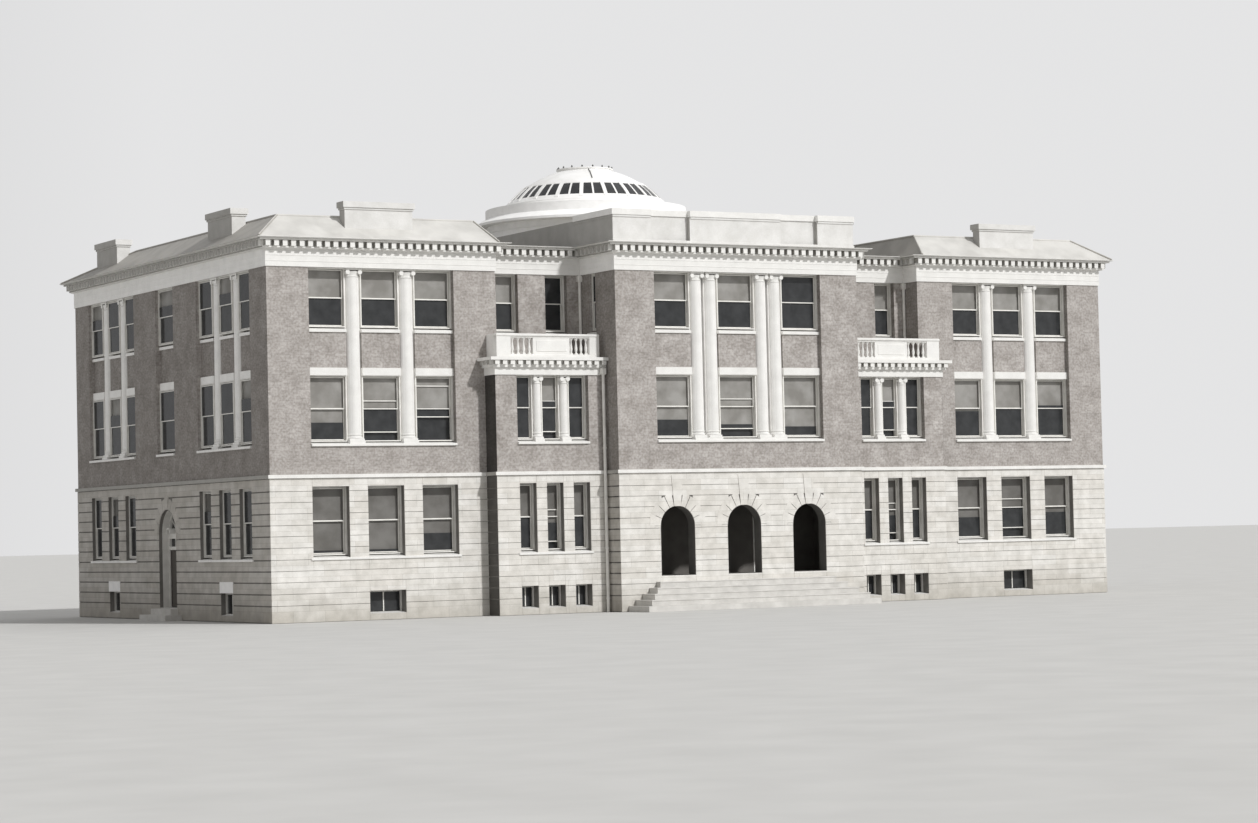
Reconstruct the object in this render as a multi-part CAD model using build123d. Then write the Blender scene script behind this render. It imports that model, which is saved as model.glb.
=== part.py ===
"""Three-storey school building: rusticated base, brick upper floors, loggia, balconies and dome.

X runs along the front from the centre line, Y runs back from the wing faces, Z up from the ground.
All sizes are millimetres.
"""
import os

from build123d import *

os.makedirs("parts", exist_ok=True)

# Plan of the outer walls
half_width = 18910
depth = 20720
wing_inner_x = 9640
pavilion_half = 5470
block_front = 850
pavilion_front = 1800
recess_back = 950
wall = 500
block_outer_x = wing_inner_x + wall

# Floor levels
ground_level = 1320
storey = 4200
slab = 200
basement_slab = 150
second_level = ground_level + storey
third_level = second_level + storey

# Heights of windows, courses and cornice
ground_sill_above_floor = 920
upper_sill_above_floor = 870
ground_opening_height = 2690
second_opening_height = 2610
third_opening_height = 2360
basement_window_bottom = 250
basement_window_height = 830
sill_height = 180
lintel_height = 280
belt_below_floor = 280
belt_height = 130
belt_projection = 100
frieze_height = 630
frieze_projection = 40
dentil_band_height = 170
dentil_band_projection = 120
crown_height = 250
crown_projection = 500

ground_sill = ground_level + ground_sill_above_floor
second_sill = second_level + upper_sill_above_floor
third_sill = third_level + upper_sill_above_floor
ground_head = ground_sill + ground_opening_height
second_head = second_sill + second_opening_height
third_head = third_sill + third_opening_height
basement_head = basement_window_bottom + basement_window_height
belt_bottom = second_level - belt_below_floor
belt_top = belt_bottom + belt_height
frieze_top = third_head + frieze_height
crown_bottom = frieze_top + dentil_band_height
cornice_top = crown_bottom + crown_height

# Window groups: three bays between giant columns
wing_group_shift = 45
wing_group_centre = (half_width + wing_inner_x) / 2 + wing_group_shift
wing_group_width = 5880
side_group_centre = 4300
side_group_width = 5330
block_group_centre = 7725
block_group_width = 3050
pavilion_group_width = 7520
column_width = 620
block_column_width = 380
pair_shaft_width = 570
pair_gap = 100
pair_width = 2 * pair_shaft_width + pair_gap

# Single windows
ground_window_width = 1460
ground_window_pitch = 2216
side_window_width = 1200
side_window_pitch = 2000
block_window_width = 700
block_window_pitch = 1145
recess_window_width = 950
recess_window_centre = 7600
recess_window_pitch = 2120
return_window_width = 500
rear_group_pitch = 7150

# Window joinery, sills and columns
sash_depth = 120
stile = 90
meeting_rail = 70
glass = 20
glass_margin = 30
sill_projection = 80
sill_ear = 90
column_setback = 80
pier_setback = 300
shaft_inset = 40
column_base_height = 260
capital_height = 330
spandrel_setback = 200
lintel_setback = 140

# Arched loggia
arch_width = 1510
arch_pitch = 2975
arch_rise = arch_width / 2
arch_crown = 3970
springing = arch_crown - arch_rise
loggia_depth = 2800
inner_wall = 300
loggia_door_width = 1500
loggia_door_height = 2900
loggia_leaf = 60

# Side doorways
doorway_width = 1900
doorway_threshold = 480
doorway_springing = 3370
door_head = 2730
transom_height = 130
arch_bar_height = 200
door_frame = 80
door_frame_depth = 100
door_leaf = 50
swing_gap = 8
meeting_gap = 12
hinge_radius = 12
hinge_plate = 5
hinge_plate_width = 55
hinge_knuckle = 60
hinge_heights = (300, 1100, 1950)
landing_run = 2400
landing_side = 250

# Steps
front_step_count = 5
riser = ground_level / (front_step_count + 1)
side_riser = 225
front_tread = 320
front_side_tread = 310
front_step_half_width = 3970
side_tread = 350
side_step_margin = 120

# Balconies over the two-storey blocks
balcony_projection = 320
balcony_fascia_height = 120
balcony_bed_projection = 130
balcony_fall = 60
balcony_top = third_level - balcony_fall
parapet_height = 890
rail_top = balcony_top + parapet_height
rail_height = 150
plinth_rail_height = 120
baluster_width = 110
baluster_pitch = 250
parapet_inset = 80
parapet_end_gap = 210
parapet_pier_width = 600
parapet_panel_width = 1560
parapet_depth = 240

# Attic, roofs and stacks
attic_half = 5450
attic_setback = 100
attic_wall = 400
attic_height = 1070
coping_height = 230
coping_projection = 50
attic_return_back = 1400
attic_recess_centre = 2915
attic_recess_width = 1710
attic_recess_depth = 200
monitor_back = 16000
monitor_height = 1100
monitor_roof_height = 700
roof_rise = 900
roof_eave_inset = 60
roof_top_inset = 800
roof_rear_run = 5320
roof_inner_run = 460
roof_shell = 150
stack_height = 1420
stack_cap_height = 220
stack_cap_projection = 80
front_stack_length = 2750
front_stack_depth = 450
front_stack_face = 150
side_stack_length = 2400
side_stack_depth = 560
side_stack_face = 150
side_stack_centres = (4750, 17150)

# Dome
dome_y = 10400
drum_radius = 4230
drum_wall = 300
drum_cornice_projection = 460
drum_height = 1900
drum_cornice_height = 100
drum_slope_height = 250
drum_band_height = 370
dome_foot_radius = 3500
dome_rise = 1770
dome_shell = 120
skylight_outer = 3200
skylight_inner = 2700
skylight_count = 40
skylight_width = 300
crown_ring_radius = 1200
crown_ring_wall = 100
crown_ring_height = 230

# Downpipes
pipe_radius = 60

# Fine gaps between neighbours in one sub-part, and the overrun of a cutter past a face
joint = 0.3
overrun = 10


def block(x0, x1, y0, y1, z0, z1):
    """Rectangular block between two opposite corners."""
    centre = Pos((x0 + x1) / 2, (y0 + y1) / 2, (z0 + z1) / 2)
    return centre * Box(x1 - x0, y1 - y0, z1 - z0)


def wall_block(line, u0, u1, d0, d1, z0, z1):
    """Block placed by the distance along a wall and the depth behind its face."""
    along, face, inward = line
    near, far = sorted((face + inward * d0, face + inward * d1))
    if along == "x":
        return block(u0, u1, near, far, z0, z1)
    return block(near, far, u0, u1, z0, z1)


def prism(points, z0, z1):
    """Upright prism on a closed outline."""
    return Pos(0, 0, z0) * extrude(make_face(Polyline(*points, close=True)), z1 - z0)


def both_sides(shapes):
    """The shapes and their mirror images across the centre line."""
    return list(shapes) + [mirror(shape, about=Plane.YZ) for shape in shapes]


def save(name, shapes):
    """Write one sub-part, flattened to its plain solids."""
    solids = [solid for shape in shapes for solid in shape.solids()]
    export_step(Compound(children=solids), f"parts/{name}.step")


# Faces of the walls: the axis along the wall, the face and the inward direction
wing_line = ("x", 0, 1)
block_line = ("x", -block_front, 1)
pavilion_line = ("x", -pavilion_front, 1)
recess_line = ("x", recess_back, 1)
rear_line = ("x", depth, -1)
side_line = ("y", -half_width, 1)
return_line = ("y", -pavilion_half, 1)


def mirrored_outline(left):
    """Closed outline from its left half, listed from the rear round to the front centre."""
    return left + [(-x, y) for x, y in reversed(left)]


def lower_outline(out):
    """Outline of the two lower storeys, moved outwards by a distance."""
    return mirrored_outline([
        (-half_width - out, depth + out),
        (-half_width - out, -out),
        (-block_outer_x - out, -out),
        (-block_outer_x - out, -block_front - out),
        (-pavilion_half - out, -block_front - out),
        (-pavilion_half - out, -pavilion_front - out),
    ])


def upper_outline(out):
    """Outline of the third storey, moved outwards by a distance."""
    return mirrored_outline([
        (-half_width - out, depth + out),
        (-half_width - out, -out),
        (-wing_inner_x + out, -out),
        (-wing_inner_x + out, recess_back - out),
        (-pavilion_half - out, recess_back - out),
        (-pavilion_half - out, -pavilion_front - out),
    ])


def ring(outline, out, z0, z1):
    """Course of one height that follows the outer walls."""
    return prism(outline(out), z0, z1) - prism(outline(-wall), z0 - overrun, z1 + overrun)


def split_course(course, inner_x, out, z0, z1):
    """Cut a course into straight runs with fine joints."""
    low, high = z0 - overrun, z1 + overrun
    front, back = -2 * pavilion_front, depth + 2 * wall
    side_x = half_width - wall
    slots = [block(-side_x - joint, -side_x, front, back, low, high)]
    for x in (inner_x, pavilion_half + out):
        slots.append(block(-x - joint, -x, front, depth / 2, low, high))
    left = -pavilion_half - out - overrun
    right = -pavilion_half + wall + overrun
    y = -pavilion_front + wall
    slots.append(block(left, right, y, y + joint, low, high))
    return course - both_sides(slots)


def spans(centre, pitch, width, count=3):
    """Start and end of equal openings about a centre."""
    first = centre - pitch * (count - 1) / 2
    return [(first + i * pitch - width / 2, first + i * pitch + width / 2) for i in range(count)]


def bays(centre, group_width, divider):
    """Spans of the three bays and of the two dividers between them."""
    bay = (group_width - 2 * divider) / 3
    openings = spans(centre, bay + divider, bay)
    dividers = [(openings[0][1], openings[1][0]), (openings[1][1], openings[2][0])]
    return openings, dividers


wing_bays, wing_dividers = bays(-wing_group_centre, wing_group_width, column_width)
front_side_bays, front_side_dividers = bays(side_group_centre, side_group_width, column_width)
rear_side_bays, rear_side_dividers = bays(depth - side_group_centre, side_group_width, column_width)
block_bays, block_dividers = bays(-block_group_centre, block_group_width, block_column_width)
pavilion_bays, pavilion_dividers = bays(0, pavilion_group_width, pair_width)
middle_bay = spans(depth / 2, 0, doorway_width, 1)

wing_ground = spans(-wing_group_centre, ground_window_pitch, ground_window_width)
block_ground = spans(-block_group_centre, block_window_pitch, block_window_width)
front_side_ground = spans(side_group_centre, side_window_pitch, side_window_width)
rear_side_ground = spans(depth - side_group_centre, side_window_pitch, side_window_width)
recess_windows = spans(-recess_window_centre, recess_window_pitch, recess_window_width, 2)
return_window = spans(0, 0, return_window_width, 1)
rear_groups = [
    spans(i * rear_group_pitch, ground_window_pitch, ground_window_width) for i in range(-2, 3)
]

# Rows of windows: wall, spans, opening bottom, opening top and whether the row has a mirror image
basement_rows = [
    (wing_line, wing_ground[1:2], basement_window_bottom, basement_head, True),
    (block_line, block_ground, basement_window_bottom, basement_head, True),
    (side_line, front_side_ground[1:2], basement_window_bottom, basement_head, True),
    (side_line, rear_side_ground[1:2], basement_window_bottom, basement_head, True),
]
basement_rows += [
    (rear_line, group[1:2], basement_window_bottom, basement_head, False) for group in rear_groups
]
ground_rows = [
    (wing_line, wing_ground, ground_sill, ground_head, True),
    (block_line, block_ground, ground_sill, ground_head, True),
    (side_line, front_side_ground, ground_sill, ground_head, True),
    (side_line, rear_side_ground, ground_sill, ground_head, True),
]
ground_rows += [(rear_line, group, ground_sill, ground_head, False) for group in rear_groups]
second_rows = [
    (wing_line, wing_bays, second_sill, second_head, True),
    (side_line, front_side_bays, second_sill, second_head, True),
    (side_line, middle_bay, second_sill, second_head, True),
    (side_line, rear_side_bays, second_sill, second_head, True),
    (block_line, block_bays, second_sill, second_head, True),
    (pavilion_line, pavilion_bays, second_sill, second_head, False),
]
second_rows += [(rear_line, group, second_sill, second_head, False) for group in rear_groups]
third_rows = [
    (wing_line, wing_bays, third_sill, third_head, True),
    (side_line, front_side_bays, third_sill, third_head, True),
    (side_line, middle_bay, third_sill, third_head, True),
    (side_line, rear_side_bays, third_sill, third_head, True),
    (pavilion_line, pavilion_bays, third_sill, third_head, False),
    (recess_line, recess_windows, third_sill, third_head, True),
    (return_line, return_window, third_sill, third_head, True),
]
third_rows += [(rear_line, group, third_sill, third_head, False) for group in rear_groups]


def row_holes(rows, line):
    """Cutters through one wall for its windows, without their mirror images."""
    cutters = []
    for row_line, row_spans, z0, z1, mirrored in rows:
        if row_line == line:
            for u0, u1 in row_spans:
                cutters.append(wall_block(line, u0, u1, -overrun, wall + overrun, z0, z1))
    return cutters


def sash(line, u0, u1, z0, z1):
    """Double-hung window frame with a meeting rail, flush with the inner wall face."""
    front = wall - sash_depth
    middle = (z0 + z1) / 2
    frame = wall_block(line, u0, u1, front, wall, z0, z1)
    panes = [(z0 + stile, middle - meeting_rail / 2), (middle + meeting_rail / 2, z1 - stile)]
    return frame - [
        wall_block(line, u0 + stile, u1 - stile, front - overrun, wall + overrun, low, high)
        for low, high in panes
    ]


def basement_sash(line, u0, u1, z0, z1):
    """Single low window frame, flush with the inner wall face."""
    front = wall - sash_depth
    frame = wall_block(line, u0, u1, front, wall, z0, z1)
    return frame - wall_block(
        line, u0 + stile, u1 - stile, front - overrun, wall + overrun, z0 + stile, z1 - stile
    )


def row_shapes(rows, make, lift):
    """One shape for each window of the rows, with the mirror images."""
    shapes = []
    for line, row_spans, z0, z1, mirrored in rows:
        made = [make(line, u0, u1, z0 + lift, z1) for u0, u1 in row_spans]
        shapes += both_sides(made) if mirrored else made
    return shapes


def row_sheets(rows):
    """One sheet of glass behind each row of windows, on the inner wall face."""
    sheets = []
    for line, row_spans, z0, z1, mirrored in rows:
        start, end = row_spans[0][0] - glass_margin, row_spans[-1][1] + glass_margin
        sheet = wall_block(line, start, end, wall, wall + glass, z0, z1 + glass_margin)
        sheets += both_sides([sheet]) if mirrored else [sheet]
    return sheets


def sill_course(line, row_spans, z0):
    """Projecting sill in front of a wall with a tongue into each opening."""
    z1 = z0 + sill_height
    start, end = row_spans[0][0] - sill_ear, row_spans[-1][1] + sill_ear
    course = wall_block(line, start, end, -sill_projection, 0, z0, z1)
    return course + [wall_block(line, u0, u1, 0, wall, z0, z1) for u0, u1 in row_spans]


def pier_spans(start, end, openings):
    """Solid stretches of a wall between its openings."""
    edges = [start] + [edge for opening in openings for edge in opening] + [end]
    return list(zip(edges[::2], edges[1::2]))


# Floors: each slab fills the plan inside the outer walls
landing_x = -half_width + wall
landing_half = doorway_width / 2 + landing_side
door_y = depth / 2
landing = block(
    landing_x, landing_x + landing_run, door_y - landing_half, door_y + landing_half,
    basement_slab, doorway_threshold,
)
basement_floor = prism(lower_outline(-wall), 0, basement_slab)
for pad in both_sides([landing]):
    basement_floor += pad
save("basement_floor", [basement_floor])

stair_well = block(
    landing_x - overrun, landing_x + landing_run + landing_side,
    door_y - landing_half - landing_side, door_y + landing_half + landing_side,
    ground_level - slab - overrun, ground_level + overrun,
)
ground_floor = prism(lower_outline(-wall), ground_level - slab, ground_level)
save("ground_floor", [ground_floor - both_sides([stair_well])])
save("second_floor", [prism(lower_outline(-wall), second_level - slab, second_level)])

third_outline = mirrored_outline([
    (-half_width + wall, depth - wall),
    (-half_width + wall, wall),
    (-wing_inner_x, wall),
    (-wing_inner_x, recess_back),
    (-pavilion_half, recess_back),
    (-pavilion_half, -block_front + wall),
    (-pavilion_half + wall, -block_front + wall),
    (-pavilion_half + wall, -pavilion_front + wall),
])
save("third_floor", [prism(third_outline, third_level - slab, third_level)])
save("roof_deck", [prism(upper_outline(-wall), cornice_top - slab, cornice_top)])

# Base walls: basement and ground floor
lower_rows = basement_rows + ground_rows
wing_base = wall_block(
    wing_line, -half_width + wall, -block_outer_x + wall, 0, wall, 0, belt_bottom
)
save("base_wing_walls", both_sides([wing_base - row_holes(lower_rows, wing_line)]))

block_base = wall_block(block_line, -block_outer_x, -pavilion_half, 0, wall, 0, belt_bottom)
block_base += block(
    -block_outer_x, -block_outer_x + wall, -block_front + wall, 0, 0, belt_bottom
)
save("base_block_walls", both_sides([block_base - row_holes(lower_rows, block_line)]))

door_start, door_end = middle_bay[0]
side_bases = [
    wall_block(side_line, start, end, 0, wall, 0, belt_bottom)
    - row_holes(lower_rows, side_line)
    for start, end in ((0, door_start), (door_end, depth))
]
save("base_side_walls", both_sides(side_bases))

door_wall = wall_block(
    side_line, door_start, door_end, 0, wall, doorway_springing, belt_bottom
)
door_arch = Pos(-half_width, door_y, doorway_springing) * Rot(0, 90, 0) * Cylinder(
    doorway_width / 2, 4 * wall
)
save("side_door_arches", both_sides([door_wall - door_arch]))

rear_base = wall_block(
    rear_line, -half_width + wall, half_width - wall, 0, wall, 0, belt_bottom
)
save("base_rear_wall", [rear_base - row_holes(lower_rows, rear_line)])

# Loggia: plinth, piers, arches, flank walls and the wall at its back
arches = spans(0, arch_pitch, arch_width)
save("loggia_plinth", [
    wall_block(pavilion_line, -pavilion_half, pavilion_half, 0, wall, 0, ground_level)
])
save("loggia_piers", [
    wall_block(pavilion_line, u0, u1, 0, wall, ground_level, springing)
    for u0, u1 in pier_spans(-pavilion_half, pavilion_half, arches)
])
arch_wall = wall_block(
    pavilion_line, -pavilion_half, pavilion_half, 0, wall, springing, belt_bottom
)
for u0, u1 in arches:
    turned = Rot(90, 0, 0) * Cylinder(arch_rise, 4 * wall)
    arch_wall -= Pos((u0 + u1) / 2, -pavilion_front, springing) * turned
save("loggia_arches", [arch_wall])

flank_front = -pavilion_front + wall
flank_corner = -block_front + wall
flank = block(
    -pavilion_half, -pavilion_half + wall, flank_front, flank_corner, 0, belt_bottom
)
save("base_flank_walls", both_sides([flank]))

loggia_back = -pavilion_front + loggia_depth
loggia_top = second_level - slab
loggia_x = -pavilion_half + wall
loggia_doors = spans(0, arch_pitch, loggia_door_width)
back_wall = block(
    loggia_x, -loggia_x, loggia_back, loggia_back + inner_wall, ground_level, loggia_top
)
for u0, u1 in loggia_doors:
    back_wall -= block(
        u0, u1, loggia_back - overrun, loggia_back + inner_wall + overrun,
        ground_level - overrun, ground_level + loggia_door_height,
    )
side_wall = block(
    loggia_x - wall, loggia_x - joint, flank_corner, loggia_back + inner_wall,
    ground_level, loggia_top,
)
save("loggia_inner_walls", [back_wall] + both_sides([side_wall]))

# Belt course between the base and the brick storeys
belt = ring(lower_outline, belt_projection, belt_bottom, belt_top)
save("belt_course", [
    split_course(belt, block_outer_x + belt_projection, belt_projection, belt_bottom, belt_top)
])

# Brick piers of the second and third storeys, and the aprons below their windows
wing_left = -wing_group_centre - wing_group_width / 2
wing_right = -wing_group_centre + wing_group_width / 2
pavilion_left = -pavilion_group_width / 2
front_piers = [
    wall_block(wing_line, -half_width + wall, wing_left, 0, wall, belt_top, third_head),
    wall_block(wing_line, wing_right, -wing_inner_x, 0, wall, belt_top, third_head),
    wall_block(pavilion_line, -pavilion_half, pavilion_left, 0, wall, belt_top, third_head),
]
save("upper_front_piers", both_sides(front_piers))

front_group = (front_side_bays[0][0], front_side_bays[-1][1])
rear_group = (rear_side_bays[0][0], rear_side_bays[-1][1])
side_openings = [front_group, middle_bay[0], rear_group]
save("upper_side_piers", both_sides([
    wall_block(side_line, u0, u1, 0, wall, belt_top, third_head)
    for u0, u1 in pier_spans(0, depth, side_openings)
]))

aprons = [wall_block(wing_line, wing_left, wing_right, 0, wall, belt_top, second_sill)]
aprons += [
    wall_block(side_line, u0, u1, 0, wall, belt_top, second_sill) for u0, u1 in side_openings
]
pavilion_apron = wall_block(
    pavilion_line, pavilion_left, -pavilion_left, 0, wall, belt_top, second_sill
)
save("window_aprons", both_sides(aprons) + [pavilion_apron])

block_wall = wall_block(
    block_line, -block_outer_x, -pavilion_half, 0, wall, belt_top, second_head
)
block_wall += block(
    -block_outer_x, -block_outer_x + wall, flank_corner, 0, belt_top, second_head
)
block_wall -= wall_block(
    block_line, block_bays[0][0], block_bays[-1][1], -overrun, wall + overrun,
    second_sill, second_head + overrun,
)
save("upper_block_walls", both_sides([block_wall]))

recess_wall = wall_block(
    recess_line, -wing_inner_x, -pavilion_half, 0, wall, third_level, third_head
)
recess_wall += block(
    -wing_inner_x - wall, -wing_inner_x, wall, recess_back + wall, third_level, third_head
)
save("recessed_walls", both_sides([recess_wall - row_holes(third_rows, recess_line)]))

upper_flank = block(
    -pavilion_half, loggia_x, flank_front, flank_corner, belt_top, third_head
)
upper_flank += block(
    -pavilion_half, loggia_x, flank_corner, recess_back + wall, third_level, third_head
)
save("upper_flank_walls", both_sides([upper_flank - row_holes(third_rows, return_line)]))

upper_rear = wall_block(
    rear_line, -half_width + wall, half_width - wall, 0, wall, belt_top, third_head
)
save("upper_rear_wall", [upper_rear - row_holes(second_rows + third_rows, rear_line)])


def column(line, u0, u1, z0, z1):
    """Round column before a pier, with square base and capital blocks."""
    along, face, inward = line
    radius = (u1 - u0) / 2 - shaft_inset
    axis = (u0 + u1) / 2
    across = face + inward * (column_setback + radius)
    x, y = (axis, across) if along == "x" else (across, axis)
    shaft = Pos(x, y, (z0 + z1) / 2) * Cylinder(radius, z1 - z0)
    shaft &= wall_block(line, u0, u1, 0, wall, z0, z1)
    pier = wall_block(line, u0, u1, pier_setback, wall, z0, z1)
    front = column_setback - shaft_inset
    base = wall_block(line, u0, u1, front, wall, z0, z0 + column_base_height)
    capital = wall_block(line, u0, u1, front, wall, z1 - capital_height, z1)
    return pier + shaft + base + capital


def column_pair(line, u0, u1, z0, z1):
    """Two columns on one backing pier."""
    backing = wall_block(line, u0, u1, wall - sash_depth, wall, z0, z1)
    left = column(line, u0, u0 + pair_shaft_width, z0, z1)
    right = column(line, u1 - pair_shaft_width, u1, z0, z1)
    return left + right + backing


column_foot = second_sill + sill_height
giant_rows = (
    (wing_line, wing_dividers),
    (side_line, front_side_dividers),
    (side_line, rear_side_dividers),
)
save("giant_columns", both_sides([
    column(line, u0, u1, column_foot, third_head)
    for line, dividers in giant_rows
    for u0, u1 in dividers
]))
save("paired_columns", [
    column_pair(pavilion_line, u0, u1, column_foot, third_head)
    for u0, u1 in pavilion_dividers
])
save("block_columns", both_sides([
    column(block_line, u0, u1, column_foot, second_head) for u0, u1 in block_dividers
]))

# Brick spandrels, stone lintels and sills between the columns
bay_rows = [row for row in second_rows if row[0] not in (rear_line, block_line)]


def bay_shapes(front, z0, z1):
    """One filling block for each tall bay, between the second and third storey windows."""
    shapes = []
    for line, row_spans, _, _, mirrored in bay_rows:
        made = [wall_block(line, u0, u1, front, wall, z0, z1) for u0, u1 in row_spans]
        shapes += both_sides(made) if mirrored else made
    return shapes


lintel_top = second_head + lintel_height
save("window_lintels", bay_shapes(lintel_setback, second_head, lintel_top))
save("brick_spandrels", bay_shapes(spandrel_setback, lintel_top, third_sill))


def sill_shapes(rows):
    """One projecting sill course for each row of windows."""
    shapes = []
    for line, row_spans, z0, _, mirrored in rows:
        course = sill_course(line, row_spans, z0)
        shapes += both_sides([course]) if mirrored else [course]
    return shapes


def group_sill(line, row_spans, mirrored):
    """Sill under a whole group of tall bays, below its columns."""
    start, end = row_spans[0][0], row_spans[-1][1]
    z1 = second_sill + sill_height
    course = wall_block(line, start, end, -sill_projection, wall, second_sill, z1)
    return both_sides([course]) if mirrored else [course]


group_rows = [row for row in second_rows if row[0] != rear_line]
single_rows = [row for row in second_rows if row[0] == rear_line]
single_rows += [row for row in third_rows if row[0] in (rear_line, recess_line, return_line)]
upper_sills = sill_shapes(single_rows)
for line, row_spans, _, _, mirrored in group_rows:
    upper_sills += group_sill(line, row_spans, mirrored)
upper_sills += bay_shapes(lintel_setback, third_sill, third_sill + sill_height)
save("window_sills", upper_sills + sill_shapes(ground_rows))

# Window frames and glass of each storey
lower_sashes = row_shapes(basement_rows, basement_sash, 0)
lower_sashes += row_shapes(ground_rows, sash, sill_height)
save("lower_sashes", lower_sashes)
save("second_sashes", row_shapes(second_rows, sash, sill_height))
save("third_sashes", row_shapes(third_rows, sash, sill_height))
door_light = wall_block(
    side_line, door_start, door_end, wall, wall + glass, door_head + transom_height,
    doorway_springing + doorway_width / 2,
)
save("lower_glass", row_sheets(lower_rows) + both_sides([door_light]))
save("second_glass", row_sheets(second_rows))
save("third_glass", row_sheets(third_rows))

# Frieze and cornice around the third storey
frieze = ring(upper_outline, frieze_projection, third_head, frieze_top)
save("frieze", [
    split_course(
        frieze, wing_inner_x - frieze_projection, frieze_projection, third_head, frieze_top
    )
])
crown = ring(upper_outline, dentil_band_projection, frieze_top, crown_bottom)
crown += ring(upper_outline, crown_projection, crown_bottom, cornice_top)
save("cornice", [
    split_course(
        crown, wing_inner_x - crown_projection, crown_projection, frieze_top, cornice_top
    )
])


# Balconies over the two-storey blocks: architrave, bed course, fascia and floor in one casting
def balcony_layer(out, z0, z1):
    """One course of the balcony, moved outwards in front and at its free end."""
    front = block(-block_outer_x - out, -pavilion_half, -block_front - out, 0, z0, z1)
    return front + block(-wing_inner_x, -pavilion_half, 0, recess_back, z0, z1)


fascia_bottom = balcony_top - balcony_fascia_height
architrave = balcony_layer(frieze_projection, second_head, lintel_top) - block(
    -block_outer_x + wall, -pavilion_half + overrun, flank_corner, recess_back + overrun,
    second_head - overrun, lintel_top + overrun,
)
balcony = architrave + balcony_layer(balcony_bed_projection, lintel_top, fascia_bottom)
balcony += balcony_layer(balcony_projection, fascia_bottom, balcony_top)
save("balconies", both_sides([balcony]))

parapet_start = -block_outer_x + parapet_inset
parapet_end = -pavilion_half - parapet_end_gap
parapet_front = -block_front
parapet_back = parapet_front + parapet_depth
rail_bottom = rail_top - rail_height
panel_start = -block_group_centre - parapet_panel_width / 2
panel_end = -block_group_centre + parapet_panel_width / 2


def parapet_block(x0, x1, z0, z1):
    """Piece of the parapet over its whole depth."""
    return block(x0, x1, parapet_front, parapet_back, z0, z1)


parapet = parapet_block(parapet_start, parapet_end, balcony_top, balcony_top + plinth_rail_height)
parapet += parapet_block(parapet_start, parapet_end, rail_bottom, rail_top)
for x0, x1 in (
    (parapet_start, parapet_start + parapet_pier_width),
    (panel_start, panel_end),
    (parapet_end - parapet_pier_width, parapet_end),
):
    parapet += parapet_block(x0, x1, balcony_top, rail_top)
parapet += block(
    parapet_start, parapet_start + parapet_depth, parapet_back, 0, balcony_top, rail_top
)
baluster_inset = (parapet_depth - baluster_width) / 2
for gap_start, gap_end in (
    (parapet_start + parapet_pier_width, panel_start),
    (panel_end, parapet_end - parapet_pier_width),
):
    count = max(1, int((gap_end - gap_start) // baluster_pitch))
    pitch = (gap_end - gap_start) / (count + 1)
    for i in range(1, count + 1):
        x = gap_start + i * pitch
        parapet += block(
            x - baluster_width / 2, x + baluster_width / 2,
            parapet_front + baluster_inset, parapet_back - baluster_inset,
            balcony_top, rail_top,
        )
save("balustrades", both_sides([parapet]))

# Attic over the pavilion and the lower walls that close the roof light behind it
attic_front = -pavilion_front + attic_setback
attic_inner = attic_half - attic_wall
attic_top = cornice_top + attic_height
coping_top = attic_top + coping_height
attic_recesses = [
    block(
        side * attic_recess_centre - attic_recess_width / 2,
        side * attic_recess_centre + attic_recess_width / 2,
        attic_front - coping_projection - overrun, attic_front + attic_recess_depth,
        cornice_top - overrun, coping_top + overrun,
    )
    for side in (-1, 1)
]
coping_recesses = [Pos(0, -coping_projection, 0) * recess for recess in attic_recesses]
front_attic = block(
    -attic_half, attic_half, attic_front, attic_front + attic_wall, cornice_top, attic_top
)
return_attic = block(
    -attic_half, -attic_inner, attic_front + attic_wall + joint, attic_return_back,
    cornice_top, attic_top,
)
save("attic_walls", [front_attic - attic_recesses] + both_sides([return_attic]))

coping_half = attic_half + coping_projection
coping_back = attic_front + attic_wall + coping_projection
front_coping = block(
    -coping_half, coping_half, attic_front - coping_projection, coping_back,
    attic_top, coping_top,
)
return_coping = block(
    -coping_half, -attic_inner + coping_projection, coping_back + joint, attic_return_back,
    attic_top, coping_top,
)
save("attic_coping", [front_coping - coping_recesses] + both_sides([return_coping]))

monitor_top = cornice_top + monitor_height
monitor_roof_top = cornice_top + monitor_roof_height
monitor_side = block(
    -attic_half, -attic_inner, attic_return_back + joint, monitor_back, cornice_top, monitor_top
)
monitor_rear = block(
    -attic_inner + joint, attic_inner - joint, monitor_back - attic_wall, monitor_back,
    cornice_top, monitor_top,
)
save("monitor_walls", [monitor_rear] + both_sides([monitor_side]))
save("monitor_roof", [block(
    -attic_inner, attic_inner, attic_front + attic_wall, monitor_back - attic_wall,
    monitor_roof_top - slab, monitor_roof_top,
)])


# Hipped wing roofs with the stacks that stand through them
def rect_face(x0, x1, y0, y1, z):
    """Level rectangle at one height."""
    return Pos((x0 + x1) / 2, (y0 + y1) / 2, z) * Rectangle(x1 - x0, y1 - y0)


def hip_roof(inset, drop):
    """Truncated hip over the left wing, shrunk by an inset and lowered by a drop."""
    eave = crown_projection - roof_eave_inset - 2 * inset
    low = rect_face(
        -half_width - eave, -wing_inner_x - inset, -eave, depth + eave, cornice_top
    )
    high = rect_face(
        -half_width + roof_top_inset + inset, -wing_inner_x - roof_inner_run - inset,
        roof_top_inset + inset, depth - roof_rear_run - inset,
        cornice_top + roof_rise - drop,
    )
    return loft([low, high], ruled=True)


def stack(x0, x1, y0, y1):
    """Chimney stack with a projecting cap."""
    z1 = cornice_top + stack_height
    out = stack_cap_projection
    cap = block(x0 - out, x1 + out, y0 - out, y1 + out, z1 - stack_cap_height, z1)
    return block(x0, x1, y0, y1, cornice_top, z1) + cap


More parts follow.
